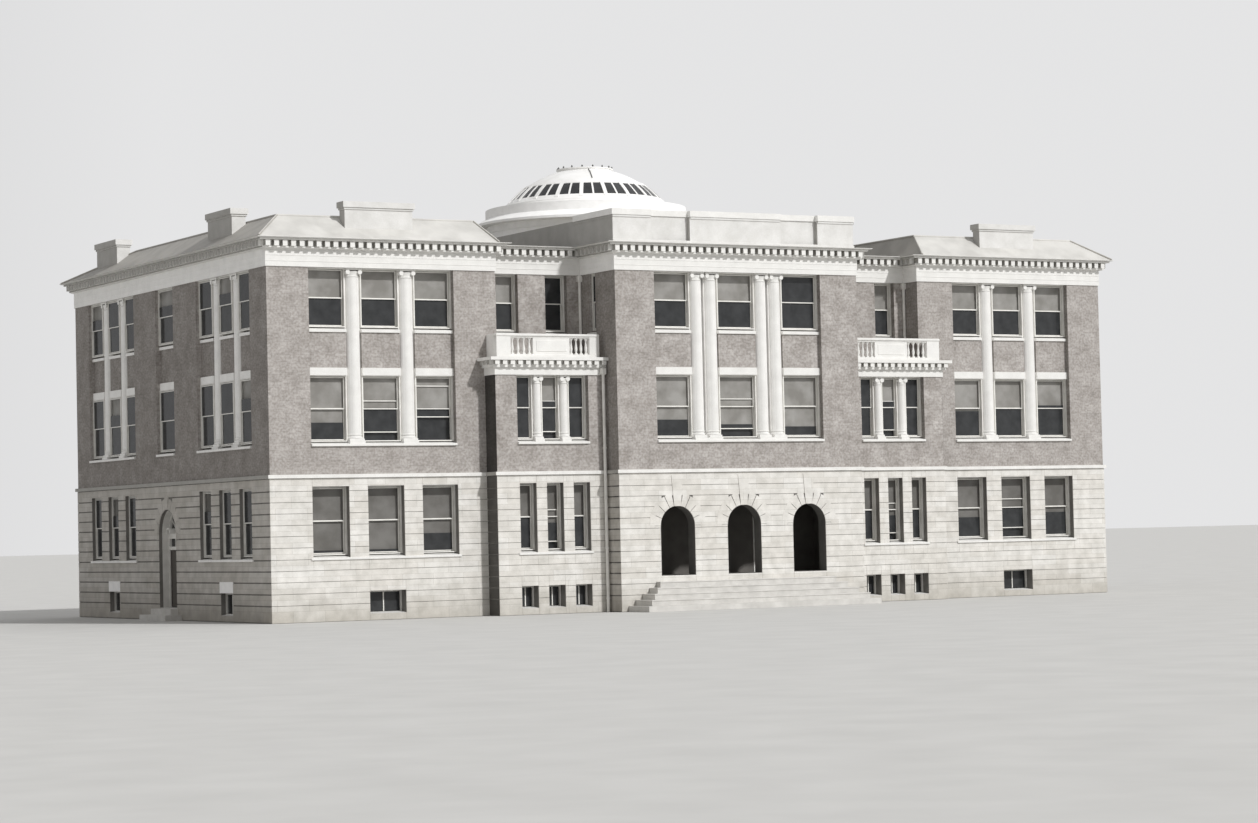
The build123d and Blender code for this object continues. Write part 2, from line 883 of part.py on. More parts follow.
def stack_hole(x0, x1, y0, y1):
    """Opening in a roof for a stack."""
    return block(
        x0 - joint, x1 + joint, y0 - joint, y1 + joint,
        cornice_top - overrun, cornice_top + stack_height,
    )


roof = hip_roof(0, 0) - hip_roof(roof_shell, roof_shell)
front_stack_plan = (
    -wing_group_centre - front_stack_length / 2, -wing_group_centre + front_stack_length / 2,
    front_stack_face, front_stack_face + front_stack_depth,
)
side_stack_x = -half_width + side_stack_face
side_stack_plans = [
    (side_stack_x, side_stack_x + side_stack_depth, y - side_stack_length / 2,
     y + side_stack_length / 2)
    for y in side_stack_centres
]
wing_roof = roof - stack_hole(*front_stack_plan)
left_roof = wing_roof - [stack_hole(*plan) for plan in side_stack_plans]
save("wing_roofs", [left_roof, mirror(wing_roof, about=Plane.YZ)])
save("stacks", both_sides([stack(*front_stack_plan)]) + [
    stack(*plan) for plan in side_stack_plans
])

# Dome on its drum, with a ring of skylights and a crowning ring
drum_top = cornice_top + drum_height
slope_foot = drum_top + drum_cornice_height
band_foot = slope_foot + drum_slope_height
dome_foot = band_foot + drum_band_height
dome_radius = (dome_foot_radius ** 2 + dome_rise ** 2) / (2 * dome_rise)
dome_centre = dome_foot + dome_rise - dome_radius


def turned_about_dome(points):
    """Solid of revolution about the dome's axis from an outline of radii and heights."""
    face = make_face(Polyline(*[(r, 0, z) for r, z in points], close=True))
    return Pos(0, dome_y, 0) * revolve(face, Axis.Z)


def dome_ball(radius):
    """Ball about the centre of the dome's curve."""
    return Pos(0, dome_y, dome_centre) * Sphere(radius)


drum_inner = drum_radius - drum_wall
save("dome_drum", [turned_about_dome([
    (drum_inner, monitor_roof_top),
    (drum_radius, monitor_roof_top),
    (drum_radius, drum_top),
    (drum_radius + drum_cornice_projection, drum_top),
    (drum_radius + drum_cornice_projection, slope_foot),
    (drum_radius, band_foot),
    (drum_radius, dome_foot),
    (dome_foot_radius - 2 * dome_shell, dome_foot),
    (dome_foot_radius - 2 * dome_shell, band_foot),
    (drum_inner, drum_top),
])])

tall = 2 * dome_radius
below_foot = Pos(0, dome_y, dome_foot - tall / 2) * Cylinder(tall, tall)
shell = dome_ball(dome_radius) - dome_ball(dome_radius - dome_shell) - below_foot
skylight_slot = block(
    skylight_inner, skylight_outer, -skylight_width / 2, skylight_width / 2,
    dome_foot, dome_foot + dome_rise,
)
slots = [
    Pos(0, dome_y, 0) * Rot(0, 0, i * 360 / skylight_count) * skylight_slot
    for i in range(skylight_count)
]
save("dome_shell", [shell - slots])

glass_outer = dome_radius - dome_shell - joint
glass_band = dome_ball(glass_outer) - dome_ball(glass_outer - glass)
glass_band &= turned_about_dome([
    (skylight_inner - glass_margin, dome_foot),
    (skylight_outer + glass_margin, dome_foot),
    (skylight_outer + glass_margin, dome_foot + dome_rise),
    (skylight_inner - glass_margin, dome_foot + dome_rise),
])
save("skylight_glass", [glass_band])

crown_inner = crown_ring_radius - crown_ring_wall
crown_foot = dome_centre + (dome_radius ** 2 - crown_ring_radius ** 2) ** 0.5
crown_ring = turned_about_dome([
    (crown_inner, crown_foot - crown_ring_wall),
    (crown_ring_radius, crown_foot - crown_ring_wall),
    (crown_ring_radius, crown_foot + crown_ring_height),
    (crown_inner, crown_foot + crown_ring_height),
])
save("dome_crown", [crown_ring - dome_ball(dome_radius + joint)])

# Side doorways: fixed frame with a transom light, and two leaves hung on its posts
frame_front = wall - door_frame_depth
post_start = door_start + door_frame
post_end = door_end - door_frame
door_frame_solid = wall_block(
    side_line, door_start, post_start, frame_front, wall, doorway_threshold, doorway_springing
)
door_frame_solid += wall_block(
    side_line, post_end, door_end, frame_front, wall, doorway_threshold, doorway_springing
)
bar_bottom = doorway_springing - arch_bar_height
for z0, z1 in ((door_head, door_head + transom_height), (bar_bottom, doorway_springing)):
    door_frame_solid += wall_block(side_line, door_start, door_end, frame_front, wall, z0, z1)


def arch_disc(radius):
    """Disc on the doorway arch's axis, as thick as the frame is deep."""
    x = -half_width + wall - door_frame_depth / 2
    return Pos(x, door_y, doorway_springing) * Rot(0, 90, 0) * Cylinder(radius, door_frame_depth)


arch_radius = doorway_width / 2
below_arch = block(
    -half_width, -half_width + 2 * wall, door_start - wall, door_end + wall,
    doorway_springing - 2 * arch_radius, doorway_springing,
)
fan_rim = arch_disc(arch_radius - joint) - arch_disc(arch_radius - door_frame) - below_arch
door_frame_solid += fan_rim

hinge_x = -half_width + wall + hinge_radius
hinge_offset = door_frame + swing_gap / 2


def knuckle(y, z0, z1, reach):
    """Round hinge knuckle with its plate, which reaches along the wall from the pin."""
    low, high = sorted((y, y + reach))
    face = -half_width + wall
    barrel = Pos(hinge_x, y, (z0 + z1) / 2) * Cylinder(hinge_radius, z1 - z0)
    return barrel + block(face, face + hinge_plate, low, high, z0, z1)


def leaf(hinge_y, inward):
    """Door leaf with the middle knuckle of each hinge; inward points to the other leaf."""
    width = (doorway_width - 2 * door_frame - 2 * swing_gap - meeting_gap) / 2
    edge = hinge_y + inward * swing_gap / 2
    low, high = sorted((edge, edge + inward * width))
    z0 = doorway_threshold + swing_gap
    solid = wall_block(
        side_line, low, high, wall - door_leaf, wall, z0, door_head - swing_gap
    )
    for height in hinge_heights:
        middle = doorway_threshold + height
        solid += knuckle(
            hinge_y, middle - hinge_knuckle / 2, middle + hinge_knuckle / 2,
            inward * hinge_plate_width,
        )
    return solid


hinge_front = door_start + hinge_offset
hinge_rear = door_end - hinge_offset
for hinge_y, inward in ((hinge_front, 1), (hinge_rear, -1)):
    for height in hinge_heights:
        middle = doorway_threshold + height
        for side in (-1, 1):
            near = middle + side * (hinge_knuckle / 2 + joint)
            far = near + side * hinge_knuckle / 2
            door_frame_solid += knuckle(
                hinge_y, min(near, far), max(near, far), -inward * hinge_plate_width
            )
save("side_door_frames", both_sides([door_frame_solid]))

front_leaf = leaf(hinge_front, 1)
rear_leaf = leaf(hinge_rear, -1)
save("left_door_front_leaf", [front_leaf])
save("left_door_rear_leaf", [rear_leaf])
save("right_door_leaves", [mirror(solid, about=Plane.YZ) for solid in (front_leaf, rear_leaf)])

leaf_front = loggia_back + (inner_wall - loggia_leaf) / 2
save("loggia_doors", [
    block(
        u0, u1, leaf_front, leaf_front + loggia_leaf, ground_level,
        ground_level + loggia_door_height,
    )
    for u0, u1 in loggia_doors
])

# Steps: a three-sided flight in front of the loggia, and a sill and two steps at each side door
front_steps = []
for i in range(1, front_step_count + 1):
    half = front_step_half_width + front_side_tread * (i - 1)
    tread_top = ground_level - riser * i
    front_steps.append(block(
        -half, half, -pavilion_front - front_tread * i, -pavilion_front,
        tread_top - riser, tread_top - joint,
    ))
save("front_steps", front_steps)

threshold = wall_block(side_line, door_start, door_end, 0, wall, 0, doorway_threshold)
side_steps = [threshold]
for i in (1, 2):
    margin = side_step_margin + side_tread * (i - 1)
    side_steps.append(wall_block(
        side_line, door_start - margin, door_end + margin, -side_tread * i, -joint,
        (2 - i) * side_riser, (3 - i) * side_riser - joint,
    ))
save("side_steps", both_sides(side_steps))

# Downpipes in the corners beside the pavilion and the right wing
pipe_reach = pipe_radius + joint


def pipe(x, y, z0, z1):
    """Upright round pipe."""
    return Pos(x, y, (z0 + z1) / 2) * Cylinder(pipe_radius, z1 - z0)


corner_y = recess_back - pipe_reach
low_reach = belt_projection + pipe_reach
save("downpipes", [
    pipe(-pavilion_half - pipe_reach, corner_y, balcony_top, third_head),
    pipe(wing_inner_x - pipe_reach, corner_y, balcony_top, third_head),
    pipe(-pavilion_half - low_reach, -block_front - low_reach, 0, lintel_top),
])
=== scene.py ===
# %% [markdown]
# A three-storey school: a pale stone base with an arched porch, two storeys of face brick
# between giant stone columns, a dentilled cornice, balconies over the links and a low dome.
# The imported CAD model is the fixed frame. Everything here is placed in its metres: X along
# the front, Y back from the wing faces, Z up from the ground. Walls, floors and roofs stay
# as they are and get finishes. Joinery, mouldings, columns and small parts are modelled.

# %% Load the frame
import math

import bmesh
import bpy
from mathutils import Matrix, Vector


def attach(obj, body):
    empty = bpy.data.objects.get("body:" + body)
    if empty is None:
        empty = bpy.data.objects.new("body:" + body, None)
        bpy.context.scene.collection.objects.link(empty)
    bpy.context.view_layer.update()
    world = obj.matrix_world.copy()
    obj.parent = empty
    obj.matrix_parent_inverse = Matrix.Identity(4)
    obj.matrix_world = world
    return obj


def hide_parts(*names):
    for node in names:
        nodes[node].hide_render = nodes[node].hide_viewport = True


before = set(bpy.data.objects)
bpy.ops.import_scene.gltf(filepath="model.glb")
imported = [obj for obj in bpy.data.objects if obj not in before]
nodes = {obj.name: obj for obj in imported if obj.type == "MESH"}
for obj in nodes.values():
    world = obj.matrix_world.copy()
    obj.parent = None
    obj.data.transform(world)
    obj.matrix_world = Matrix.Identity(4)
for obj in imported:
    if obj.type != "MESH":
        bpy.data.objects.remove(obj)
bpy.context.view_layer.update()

# %% [markdown]
# A photograph fixes the view. A long lens far to the left, at the height of the ground floor,
# keeps the uprights almost parallel. The camera is a plain object turned by three angles:
# heading, tilt up and a slight roll. A matrix keeps each angle readable on its own.

# %% Camera
image_width = 1258
focal_pixels = 3074
sensor = 36
camera_place = (-62.0, -103.2, 2.99)
heading, tilt, lean = math.radians(29.72), 0.0379, -0.0236
centre_right, centre_down = 20, 4

camera_data = bpy.data.cameras.new("view")
camera_data.sensor_width = sensor
camera_data.lens = focal_pixels / image_width * sensor
camera_data.shift_x = -centre_right / image_width
camera_data.shift_y = centre_down / image_width
camera_data.clip_end = 2000
camera = bpy.data.objects.new("view", camera_data)
bpy.context.collection.objects.link(camera)
camera.matrix_world = (
    Matrix.Translation(camera_place)
    @ Matrix.Rotation(-heading, 4, "Z")
    @ Matrix.Rotation(math.pi / 2 + tilt, 4, "X")
    @ Matrix.Rotation(lean, 4, "Z")
)
bpy.context.scene.camera = camera
print("lens", round(camera_data.lens, 2))

# %% [markdown]
# Soft studio light in two parts: a wide sun lamp from the front right, so that every ledge
# draws a shade line, and a pale world that lifts the shaded side. The wide angle of the
# lamp keeps shadow edges soft.

# %% Light
bpy.context.scene.view_settings.view_transform = "Standard"
lamp_side, lamp_height = math.radians(20), math.radians(38)
lamp_data = bpy.data.lights.new("key", "SUN")
lamp_data.energy = 2.7
lamp_data.angle = math.radians(3)
lamp = bpy.data.objects.new("key", lamp_data)
bpy.context.collection.objects.link(lamp)
lamp_from = Vector((
    math.sin(lamp_side) * math.cos(lamp_height),
    -math.cos(lamp_side) * math.cos(lamp_height),
    math.sin(lamp_height),
))
lamp.rotation_euler = lamp_from.to_track_quat("Z", "Y").to_euler()

# %% [markdown]
# Finishes are node trees. Small functions keep them short: one turns a paint-chart hex value
# into the linear colour the renderer wants, one adds a node with its settings and its links,
# and two start and end a finish. Between them each finish has its own patterns.

# %% Colour and node helpers
def linear(hex_value):
    """Linear colour from an sRGB hex value."""
    parts = [int(hex_value[i:i + 2], 16) / 255 for i in (1, 3, 5)]
    return tuple(
        c / 12.92 if c <= 0.04045 else ((c + 0.055) / 1.055) ** 2.4 for c in parts
    ) + (1.0,)


def add(tree, kind, settings, links):
    """Add a node, set its colour stops, properties and inputs, and link its inputs."""
    made = tree.nodes.new(kind)
    for key, value in settings.items():
        if key == "stops":
            for stop, (position, colour) in zip(made.color_ramp.elements, value):
                stop.position = position
                stop.color = linear(colour) if isinstance(colour, str) else colour
        elif isinstance(key, str) and hasattr(made, key):
            setattr(made, key, value)
        else:
            made.inputs[key].default_value = value
    for key, socket in links.items():
        tree.links.new(socket, made.inputs[key])
    return made


def new_finish(name, roughness, metallic=0.0):
    """Start a finish: its material, node tree, shader and object coordinates."""
    made = bpy.data.materials.new(name)
    made.use_nodes = True
    tree = made.node_tree
    shader = tree.nodes["Principled BSDF"]
    shader.inputs["Roughness"].default_value = roughness
    shader.inputs["Metallic"].default_value = metallic
    place = add(tree, "ShaderNodeTexCoord", {}, {}).outputs["Object"]
    return made, tree, shader, place


def finish_off(tree, shader, tone, relief, strength, distance):
    """Wire a colour into the shader, and a pattern into its bump."""
    tree.links.new(tone, shader.inputs["Base Color"])
    bump = add(tree, "ShaderNodeBump", {"Strength": strength, "Distance": distance},
               {"Height": relief})
    tree.links.new(bump.outputs[0], shader.inputs["Normal"])


# %% [markdown]
# The world is one slow ramp: dim on the left of the building, bright behind it and right.

# %% World
dim, bright, bright_from = (0.47, 0.47, 0.475, 1), (0.78, 0.78, 0.785, 1), 0.35
world = bpy.data.worlds.new("soft box")
world.use_nodes = True
bpy.context.scene.world = world
box = world.node_tree
sky_place = add(box, "ShaderNodeTexCoord", {}, {}).outputs["Generated"]
sky_axes = add(box, "ShaderNodeSeparateXYZ", {}, {0: sky_place})
sky = add(box, "ShaderNodeValToRGB", {"stops": ((0.0, dim), (bright_from, bright))},
          {"Fac": sky_axes.outputs["X"]})
box.links.new(sky.outputs["Color"], box.nodes["Background"].inputs["Color"])

# %% [markdown]
# Face brick: pressed clay, fired hard and laid in running bond with thin lime joints. A brick
# face is 203 by 60 mm with 7 mm joints. From this far the joints melt into a grain, so each
# brick also differs a little in tone and slow stains cross the wall. The pattern runs on
# distance along the wall, so courses turn the corners. The side walls get painted shade: the
# finish reads which way a face looks and tints faces that look along X darker.

# %% Face brick
brick_course, brick_length, brick_joint = 0.067, 0.21, 0.007


def wall_plane(tree, place):
    """Distance along any upright wall and height, for patterns laid in courses."""
    split = add(tree, "ShaderNodeSeparateXYZ", {}, {0: place})
    along = add(tree, "ShaderNodeMath", {"operation": "ADD"},
                {0: split.outputs["X"], 1: split.outputs["Y"]})
    joined = add(tree, "ShaderNodeCombineXYZ", {},
                 {"X": along.outputs[0], "Y": split.outputs["Z"]})
    return joined.outputs[0], split.outputs["Z"]


def tinted(tree, tone, pattern, low, high, dark, light="#ffffff", amount=1.0):
    """Multiply a colour by a tint that runs from dark to light with a pattern."""
    tint = add(tree, "ShaderNodeValToRGB", {"stops": ((low, dark), (high, light))},
               {"Fac": pattern})
    return add(tree, "ShaderNodeMix",
               {"data_type": "RGBA", "blend_type": "MULTIPLY", "Factor": amount},
               {"A": tone, "B": tint.outputs["Color"]}).outputs["Result"]


def paint_light_by_facing(tree, tone, sides, front="#ffffff", low=0.6, high=0.8):
    """Painted light and shade: tint side faces and the other faces apart by the normal's X."""
    facing = add(tree, "ShaderNodeNewGeometry", {}, {}).outputs["True Normal"]
    axes = add(tree, "ShaderNodeSeparateXYZ", {}, {0: facing})
    sideways = add(tree, "ShaderNodeMath", {"operation": "ABSOLUTE"}, {0: axes.outputs["X"]})
    return tinted(tree, tone, sideways.outputs[0], low, high, front, sides)


def brick_finish(name, one, other, mortar):
    """Running bond with a mottle and slow stains."""
    made, tree, shader, place = new_finish(name, 0.85)
    laid, _ = wall_plane(tree, place)
    bond = add(tree, "ShaderNodeTexBrick", {
        "offset": 0.5, "Color1": linear(one), "Color2": linear(other),
        "Mortar": linear(mortar), "Scale": 1.0, "Mortar Size": brick_joint / 2,
        "Mortar Smooth": 0.2, "Brick Width": brick_length, "Row Height": brick_course,
    }, {"Vector": laid})
    # Clouds 600 mm and 90 mm across: weather stains, and the mottle of bricks fired unevenly
    stains = add(tree, "ShaderNodeTexNoise", {"Scale": 1.6, "Detail": 5.0}, {"Vector": place})
    mottle = add(tree, "ShaderNodeTexNoise", {"Scale": 11.0, "Detail": 3.0}, {"Vector": place})
    tone = tinted(tree, bond.outputs["Color"], stains.outputs["Fac"], 0.3, 0.7, "#dcdad8")
    tone = tinted(tree, tone, mottle.outputs["Fac"], 0.35, 0.65, "#d2cfcc", amount=0.8)
    # Painted shade: faces that look along X, the side walls, come out darker
    tone = paint_light_by_facing(tree, tone, "#e0dfde")
    finish_off(tree, shader, tone, bond.outputs["Fac"], -0.4, 0.006)
    return made


face_brick = brick_finish("face_brick_pressed_clay", "#bdb8b4", "#aca7a3", "#c0bdb9")
# Painted shade: a dark copy of the face brick for the shaded block returns
brick_in_painted_shade = brick_finish("face_brick_pressed_clay_painted_shade", "#5d5a57", "#504e4b", "#56534f")
print("brick courses a metre", round(1 / brick_course, 1))

# %% [markdown]
# Base stone: pale limestone, sawn and rubbed, laid in tall channelled courses. It is almost
# white with soft cloudy beds and faint upright joints about every 1.25 m. It turns a little
# darker towards the bottom, so height drives a slow gradient. The backing behind the courses,
# seen in the joints and in the reveals, is rougher, and dark: dark joints, and painted shade
# in the reveals.

# %% Base stone
stone_course, stone_length, fade_height = 0.415, 1.25, 1.4


def stone_finish(name, dark, light, with_joints, roughness=0.75, sides="#ffffff",
                 front="#ffffff"):
    """Pale stone: clouds, grain, on walls thin upright joints, and painted light and shade by
    facing.
    """
    made, tree, shader, place = new_finish(name, roughness)
    laid, height = wall_plane(tree, place)
    beds = add(tree, "ShaderNodeTexNoise", {"Scale": 2.2, "Detail": 6.0}, {"Vector": place})
    grain = add(tree, "ShaderNodeTexNoise", {"Scale": 45.0, "Detail": 2.0}, {"Vector": place})
    tone = add(tree, "ShaderNodeValToRGB", {"stops": ((0.3, dark), (0.7, light))},
               {"Fac": beds.outputs["Fac"]}).outputs["Color"]
    tone = tinted(tree, tone, grain.outputs["Fac"], 0.3, 0.7, "#e6e4e0", amount=0.6)
    if with_joints:
        joints = add(tree, "ShaderNodeTexBrick", {
            "offset": 0.5, "Color1": linear("#ffffff"), "Color2": linear("#f1efec"),
            "Mortar": linear("#bdbab4"), "Scale": 1.0, "Mortar Size": 0.004,
            "Brick Width": stone_length, "Row Height": stone_course,
        }, {"Vector": laid})
        tone = add(tree, "ShaderNodeMix",
                   {"data_type": "RGBA", "blend_type": "MULTIPLY", "Factor": 0.8},
                   {"A": tone, "B": joints.outputs["Color"]}).outputs["Result"]
        # Darker towards the bottom
        bottom_fade = add(tree, "ShaderNodeMapRange", {"From Min": 0.0, "From Max": fade_height},
                   {"Value": height})
        tone = tinted(tree, tone, bottom_fade.outputs["Result"], 0.0, 1.0, "#dcdad6")
    tone = paint_light_by_facing(tree, tone, sides, front)
    finish_off(tree, shader, tone, grain.outputs["Fac"], 0.15, 0.003)
    return made


# Painted shade: the base stone's side faces are tinted darker
base_stone = stone_finish("limestone_sawn_and_rubbed", "#cdcbc6", "#e7e5e1", True,
                          sides="#dedcda")
# Dark joints, and painted shade in the reveals, which this backing lines
backing_stone_painted_shade = stone_finish("limestone_backing_dark_joints_painted_shade", "#73716d", "#85827e", False, 0.9)
# Painted shade: the porch piers and arches, whose reveals lie in shade, are dark stone
porch_stone_painted_shade = stone_finish("limestone_in_the_porch_painted_shade", "#5f5d5a", "#6e6c69", False, 0.9)
# Painted shade: a dark copy of the base stone for the same shaded returns
stone_in_painted_shade = stone_finish("limestone_sawn_painted_shade", "#6b6966", "#7a7875", True,
                           sides="#c4c3c1")
# Painted light: fronts are tinted a little darker than sides, so that the shaded sides of columns
# and ledges read lighter
trim_stone = stone_finish("limestone_carved_smooth", "#f0efed", "#fbfaf8", False, 0.65,
                          front="#ebebea")
# Painted shade: the side faces of the cornice and belt are tinted darker
eaves_stone = stone_finish("limestone_moulded_with_painted_side_shade", "#dcdbd8", "#e9e8e5", False,
                           0.65, sides="#bcbbb8")
step_stone = stone_finish("sandstone_sawn_treads", "#bfbdb9", "#d3d1cd", False)
# Painted shade: the render's side faces, on the attic and the stacks, are tinted darker
lime_render = stone_finish("lime_render_troweled", "#cfcecb", "#dedddb", False, 0.8, "#d0cfcd")
# Painted shade: the plaster inside the porch, which lies in shade, is dark
porch_plaster_painted_shade = stone_finish("gypsum_plaster_floated_painted_shade", "#5f5c58", "#6d6a66", False, 0.9)
floor_concrete = stone_finish("concrete_floated", "#8a8883", "#9b9993", False, 0.85)
roof_gravel = stone_finish("felt_roof_with_gravel", "#6f6e6b", "#8d8b87", False, 0.95)

# %% [markdown]
# Small finishes. Window frames and pipes wear white oil paint, brushed on: smooth, with a
# slight sheen and a few dulled patches. Roof sheet is painted metal, dulled by weather, and
# its hips, which slope sideways, get painted shade.
# The doors are varnished oak, with grain that runs upright: noise stretched along Z.
# Roller shades are plain linen, woven so fine that only a faint cross weave is drawn.

# %% Paint, metal, wood and cloth
def painted(name, hex_dark, hex_light, roughness, patch_scale, sides="#ffffff"):
    """Brushed paint: slow patches, brush marks and painted shade where it slopes sideways."""
    made, tree, shader, place = new_finish(name, roughness)
    patches = add(tree, "ShaderNodeTexNoise", {"Scale": patch_scale, "Detail": 4.0},
                  {"Vector": place})
    tone = add(tree, "ShaderNodeValToRGB", {"stops": ((0.35, hex_dark), (0.65, hex_light))},
               {"Fac": patches.outputs["Fac"]}).outputs["Color"]
    tone = paint_light_by_facing(tree, tone, sides, "#ffffff", 0.1, 0.3)
    strokes = add(tree, "ShaderNodeTexNoise", {"Scale": 120.0}, {"Vector": place})
    finish_off(tree, shader, tone, strokes.outputs["Fac"], 0.08, 0.001)
    return made


limewash = painted("limewash_brushed", "#f0efed", "#f8f7f5", 0.8, 3.0)
cast_iron = painted("iron_cast_and_painted_dark", "#4c4b49", "#5c5b58", 0.5, 6.0)
oil_paint = painted("white_oil_paint_brushed", "#d9d7d1", "#e6e4df", 0.45, 3.0)
# Painted shade: the hips, which slope sideways, are tinted darker
roof_sheet = painted("painted_sheet_metal_folded", "#bbb9b4", "#cccac5", 0.5, 1.3, "#d2d0cd")
dome_sheet = painted("white_painted_sheet_metal", "#e9e8e5", "#f3f2f0", 0.45, 1.8)

worn_brass, tree, shader, place = new_finish("brass_cast_and_worn", 0.35, 1.0)
tarnish = add(tree, "ShaderNodeTexNoise", {"Scale": 40.0, "Detail": 4.0}, {"Vector": place})
tone = add(tree, "ShaderNodeValToRGB", {"stops": ((0.35, "#6b5d43"), (0.65, "#a08d66"))},
           {"Fac": tarnish.outputs["Fac"]}).outputs["Color"]
tree.links.new(tone, shader.inputs["Base Color"])

door_oak, tree, shader, place = new_finish("oak_varnished", 0.35)
stretched = add(tree, "ShaderNodeMapping", {"Scale": (30.0, 30.0, 1.5)}, {"Vector": place})
grain = add(tree, "ShaderNodeTexNoise", {"Scale": 1.0, "Detail": 6.0, "Distortion": 0.6},
            {"Vector": stretched.outputs[0]})
tone = add(tree, "ShaderNodeValToRGB", {"stops": ((0.3, "#2b2622"), (0.7, "#4a423b"))},
           {"Fac": grain.outputs["Fac"]}).outputs["Color"]
finish_off(tree, shader, tone, grain.outputs["Fac"], 0.1, 0.001)
shader.inputs["Coat Weight"].default_value = 0.3


def linen(name, dark, light):
    """Woven linen behind a pane: a faint weave, smoke clouds and the gloss of the pane."""
    made, tree, shader, place = new_finish(name, 0.8)
    threads = add(tree, "ShaderNodeTexWave", {"bands_direction": "Z", "Scale": 12.0,
                                              "Distortion": 0.6}, {"Vector": place})
    tone = add(tree, "ShaderNodeValToRGB", {"stops": ((0.0, dark), (1.0, light))},
               {"Fac": threads.outputs["Fac"]}).outputs["Color"]
    smoke = add(tree, "ShaderNodeTexNoise", {"Scale": 1.4, "Detail": 4.0}, {"Vector": place})
    tone = tinted(tree, tone, smoke.outputs["Fac"], 0.35, 0.65, "#c8c6c2", amount=0.8)
    tree.links.new(tone, shader.inputs["Base Color"])
    shader.inputs["Coat Weight"].default_value = 0.25
    shader.inputs["Coat Roughness"].default_value = 0.08
    return made


linen_shade = linen("linen_plain_woven", "#8e8c88", "#9a9894")
old_linen_shade = linen("linen_darkened_by_smoke", "#6a6865", "#75736f")

# %% [markdown]
# Window glass of the time was drawn or blown, so it is a little wavy. By day the rooms behind
# it are dark. Panes, and the glass sheet of each storey, have a near-black body under a clear
# gloss, and slow waves in the bump break up what they mirror.

# %% Window glass
window_glass, tree, shader, place = new_finish("cylinder_glass_over_dark_room", 0.12)
waves = add(tree, "ShaderNodeTexNoise", {"Scale": 2.5, "Detail": 2.0}, {"Vector": place})
tone = add(tree, "ShaderNodeValToRGB", {"stops": ((0.3, "#2c2d2e"), (0.7, "#3a3b3c"))},
           {"Fac": waves.outputs["Fac"]}).outputs["Color"]
finish_off(tree, shader, tone, waves.outputs["Fac"], 0.1, 0.01)
shader.inputs["Specular IOR Level"].default_value = 0.3

# %% [markdown]
# Each CAD node takes its finish by name. A loop over plain lists keeps the choice readable,
# and any node left without a finish would stop the script here.

# %% Finishes of the CAD nodes
finishes = {
    backing_stone_painted_shade: ["base_wing_walls", "base_block_walls", "base_side_walls",
                    "side_door_arches", "base_rear_wall", "base_flank_walls",
                    "loggia_plinth"],
    porch_stone_painted_shade: ["loggia_piers", "loggia_arches"],
    eaves_stone: ["belt_course", "cornice"],
    trim_stone: ["window_lintels", "window_sills", "frieze", "giant_columns",
                 "paired_columns", "block_columns", "balconies", "balustrades",
                 "attic_coping"],
    face_brick: ["upper_front_piers", "upper_side_piers", "window_aprons",
                 "upper_block_walls", "recessed_walls", "upper_flank_walls",
                 "upper_rear_wall", "brick_spandrels"],
    lime_render: ["attic_walls", "monitor_walls", "stacks"],
    limewash: ["dome_drum"],
    oil_paint: ["lower_sashes", "second_sashes", "third_sashes", "side_door_frames",
                "downpipes"],
    window_glass: ["lower_glass", "second_glass", "third_glass", "skylight_glass"],
    roof_sheet: ["wing_roofs"],
    dome_sheet: ["dome_shell", "dome_crown"],
    porch_plaster_painted_shade: ["loggia_inner_walls"],
    door_oak: ["left_door_front_leaf", "left_door_rear_leaf", "right_door_leaves",
               "loggia_doors"],
    floor_concrete: ["basement_floor", "ground_floor", "second_floor", "third_floor",
                     "monitor_roof"],
    roof_gravel: ["roof_deck"],
    step_stone: ["front_steps", "side_steps"],
}
finished = set()
for finish, names in finishes.items():
    for name in names:
        node = nodes[name]
        node.data.materials.clear()
        node.data.materials.append(finish)
        finished.add(name)
assert finished == set(nodes), set(nodes) - finished
print("nodes with a finish:", len(finished))

# %% [markdown]
# Most pieces are cut stone or wood: blocks with softened edges. A block starts from a unit
# cube that is scaled and moved, then its edges are bevelled. Walls are described as in the
# CAD: a line has an axis along the wall, the place of its face and the way inwards, so one
# helper places a block by the distance along a wall and the depth behind its face.

# %% Block and piece helpers
# Walls are half a metre thick; what is laid on one goes a millimetre into it
wall, bedded = 0.5, 0.001
half_width, depth = 18.91, 20.72
wing_inner_x, block_outer_x, pavilion_half = 9.64, 10.14, 5.47
block_y, pavilion_y, recess_y = -0.85, -1.8, 0.95
crease = math.radians(35)
wing_line, block_line, pavilion_line, recess_line = (
    ("x", face, 1) for face in (0.0, block_y, pavilion_y, recess_y))
side_line, block_return, return_line = (
    ("y", -face, 1) for face in (half_width, block_outer_x, pavilion_half))
rear_line = ("x", depth, -1)


def block(bm, x0, x1, y0, y1, z0, z1, soft=0.0):
    """Add a block between two corners, its edges bevelled by soft; return its first corners."""
    made = bmesh.ops.create_cube(bm, size=1.0)["verts"]
    bmesh.ops.scale(bm, verts=made, vec=(x1 - x0, y1 - y0, z1 - z0))
    bmesh.ops.translate(bm, verts=made, vec=((x0 + x1) / 2, (y0 + y1) / 2, (z0 + z1) / 2))
    if soft:
        edges = list({edge for vert in made for edge in vert.link_edges})
        bmesh.ops.bevel(bm, geom=edges, offset=soft, affect="EDGES", segments=1, profile=0.5,
                        material=-1)
    return made


def wall_block(bm, line, u0, u1, d0, d1, z0, z1, soft=0.0):
    """Add a block by its run along a wall and its depth behind the wall's face."""
    along, face, inward = line
    near, far = sorted((face + inward * d0, face + inward * d1))
    plan = (u0, u1, near, far) if along == "x" else (near, far, u0, u1)
    return block(bm, *plan, z0, z1, soft)


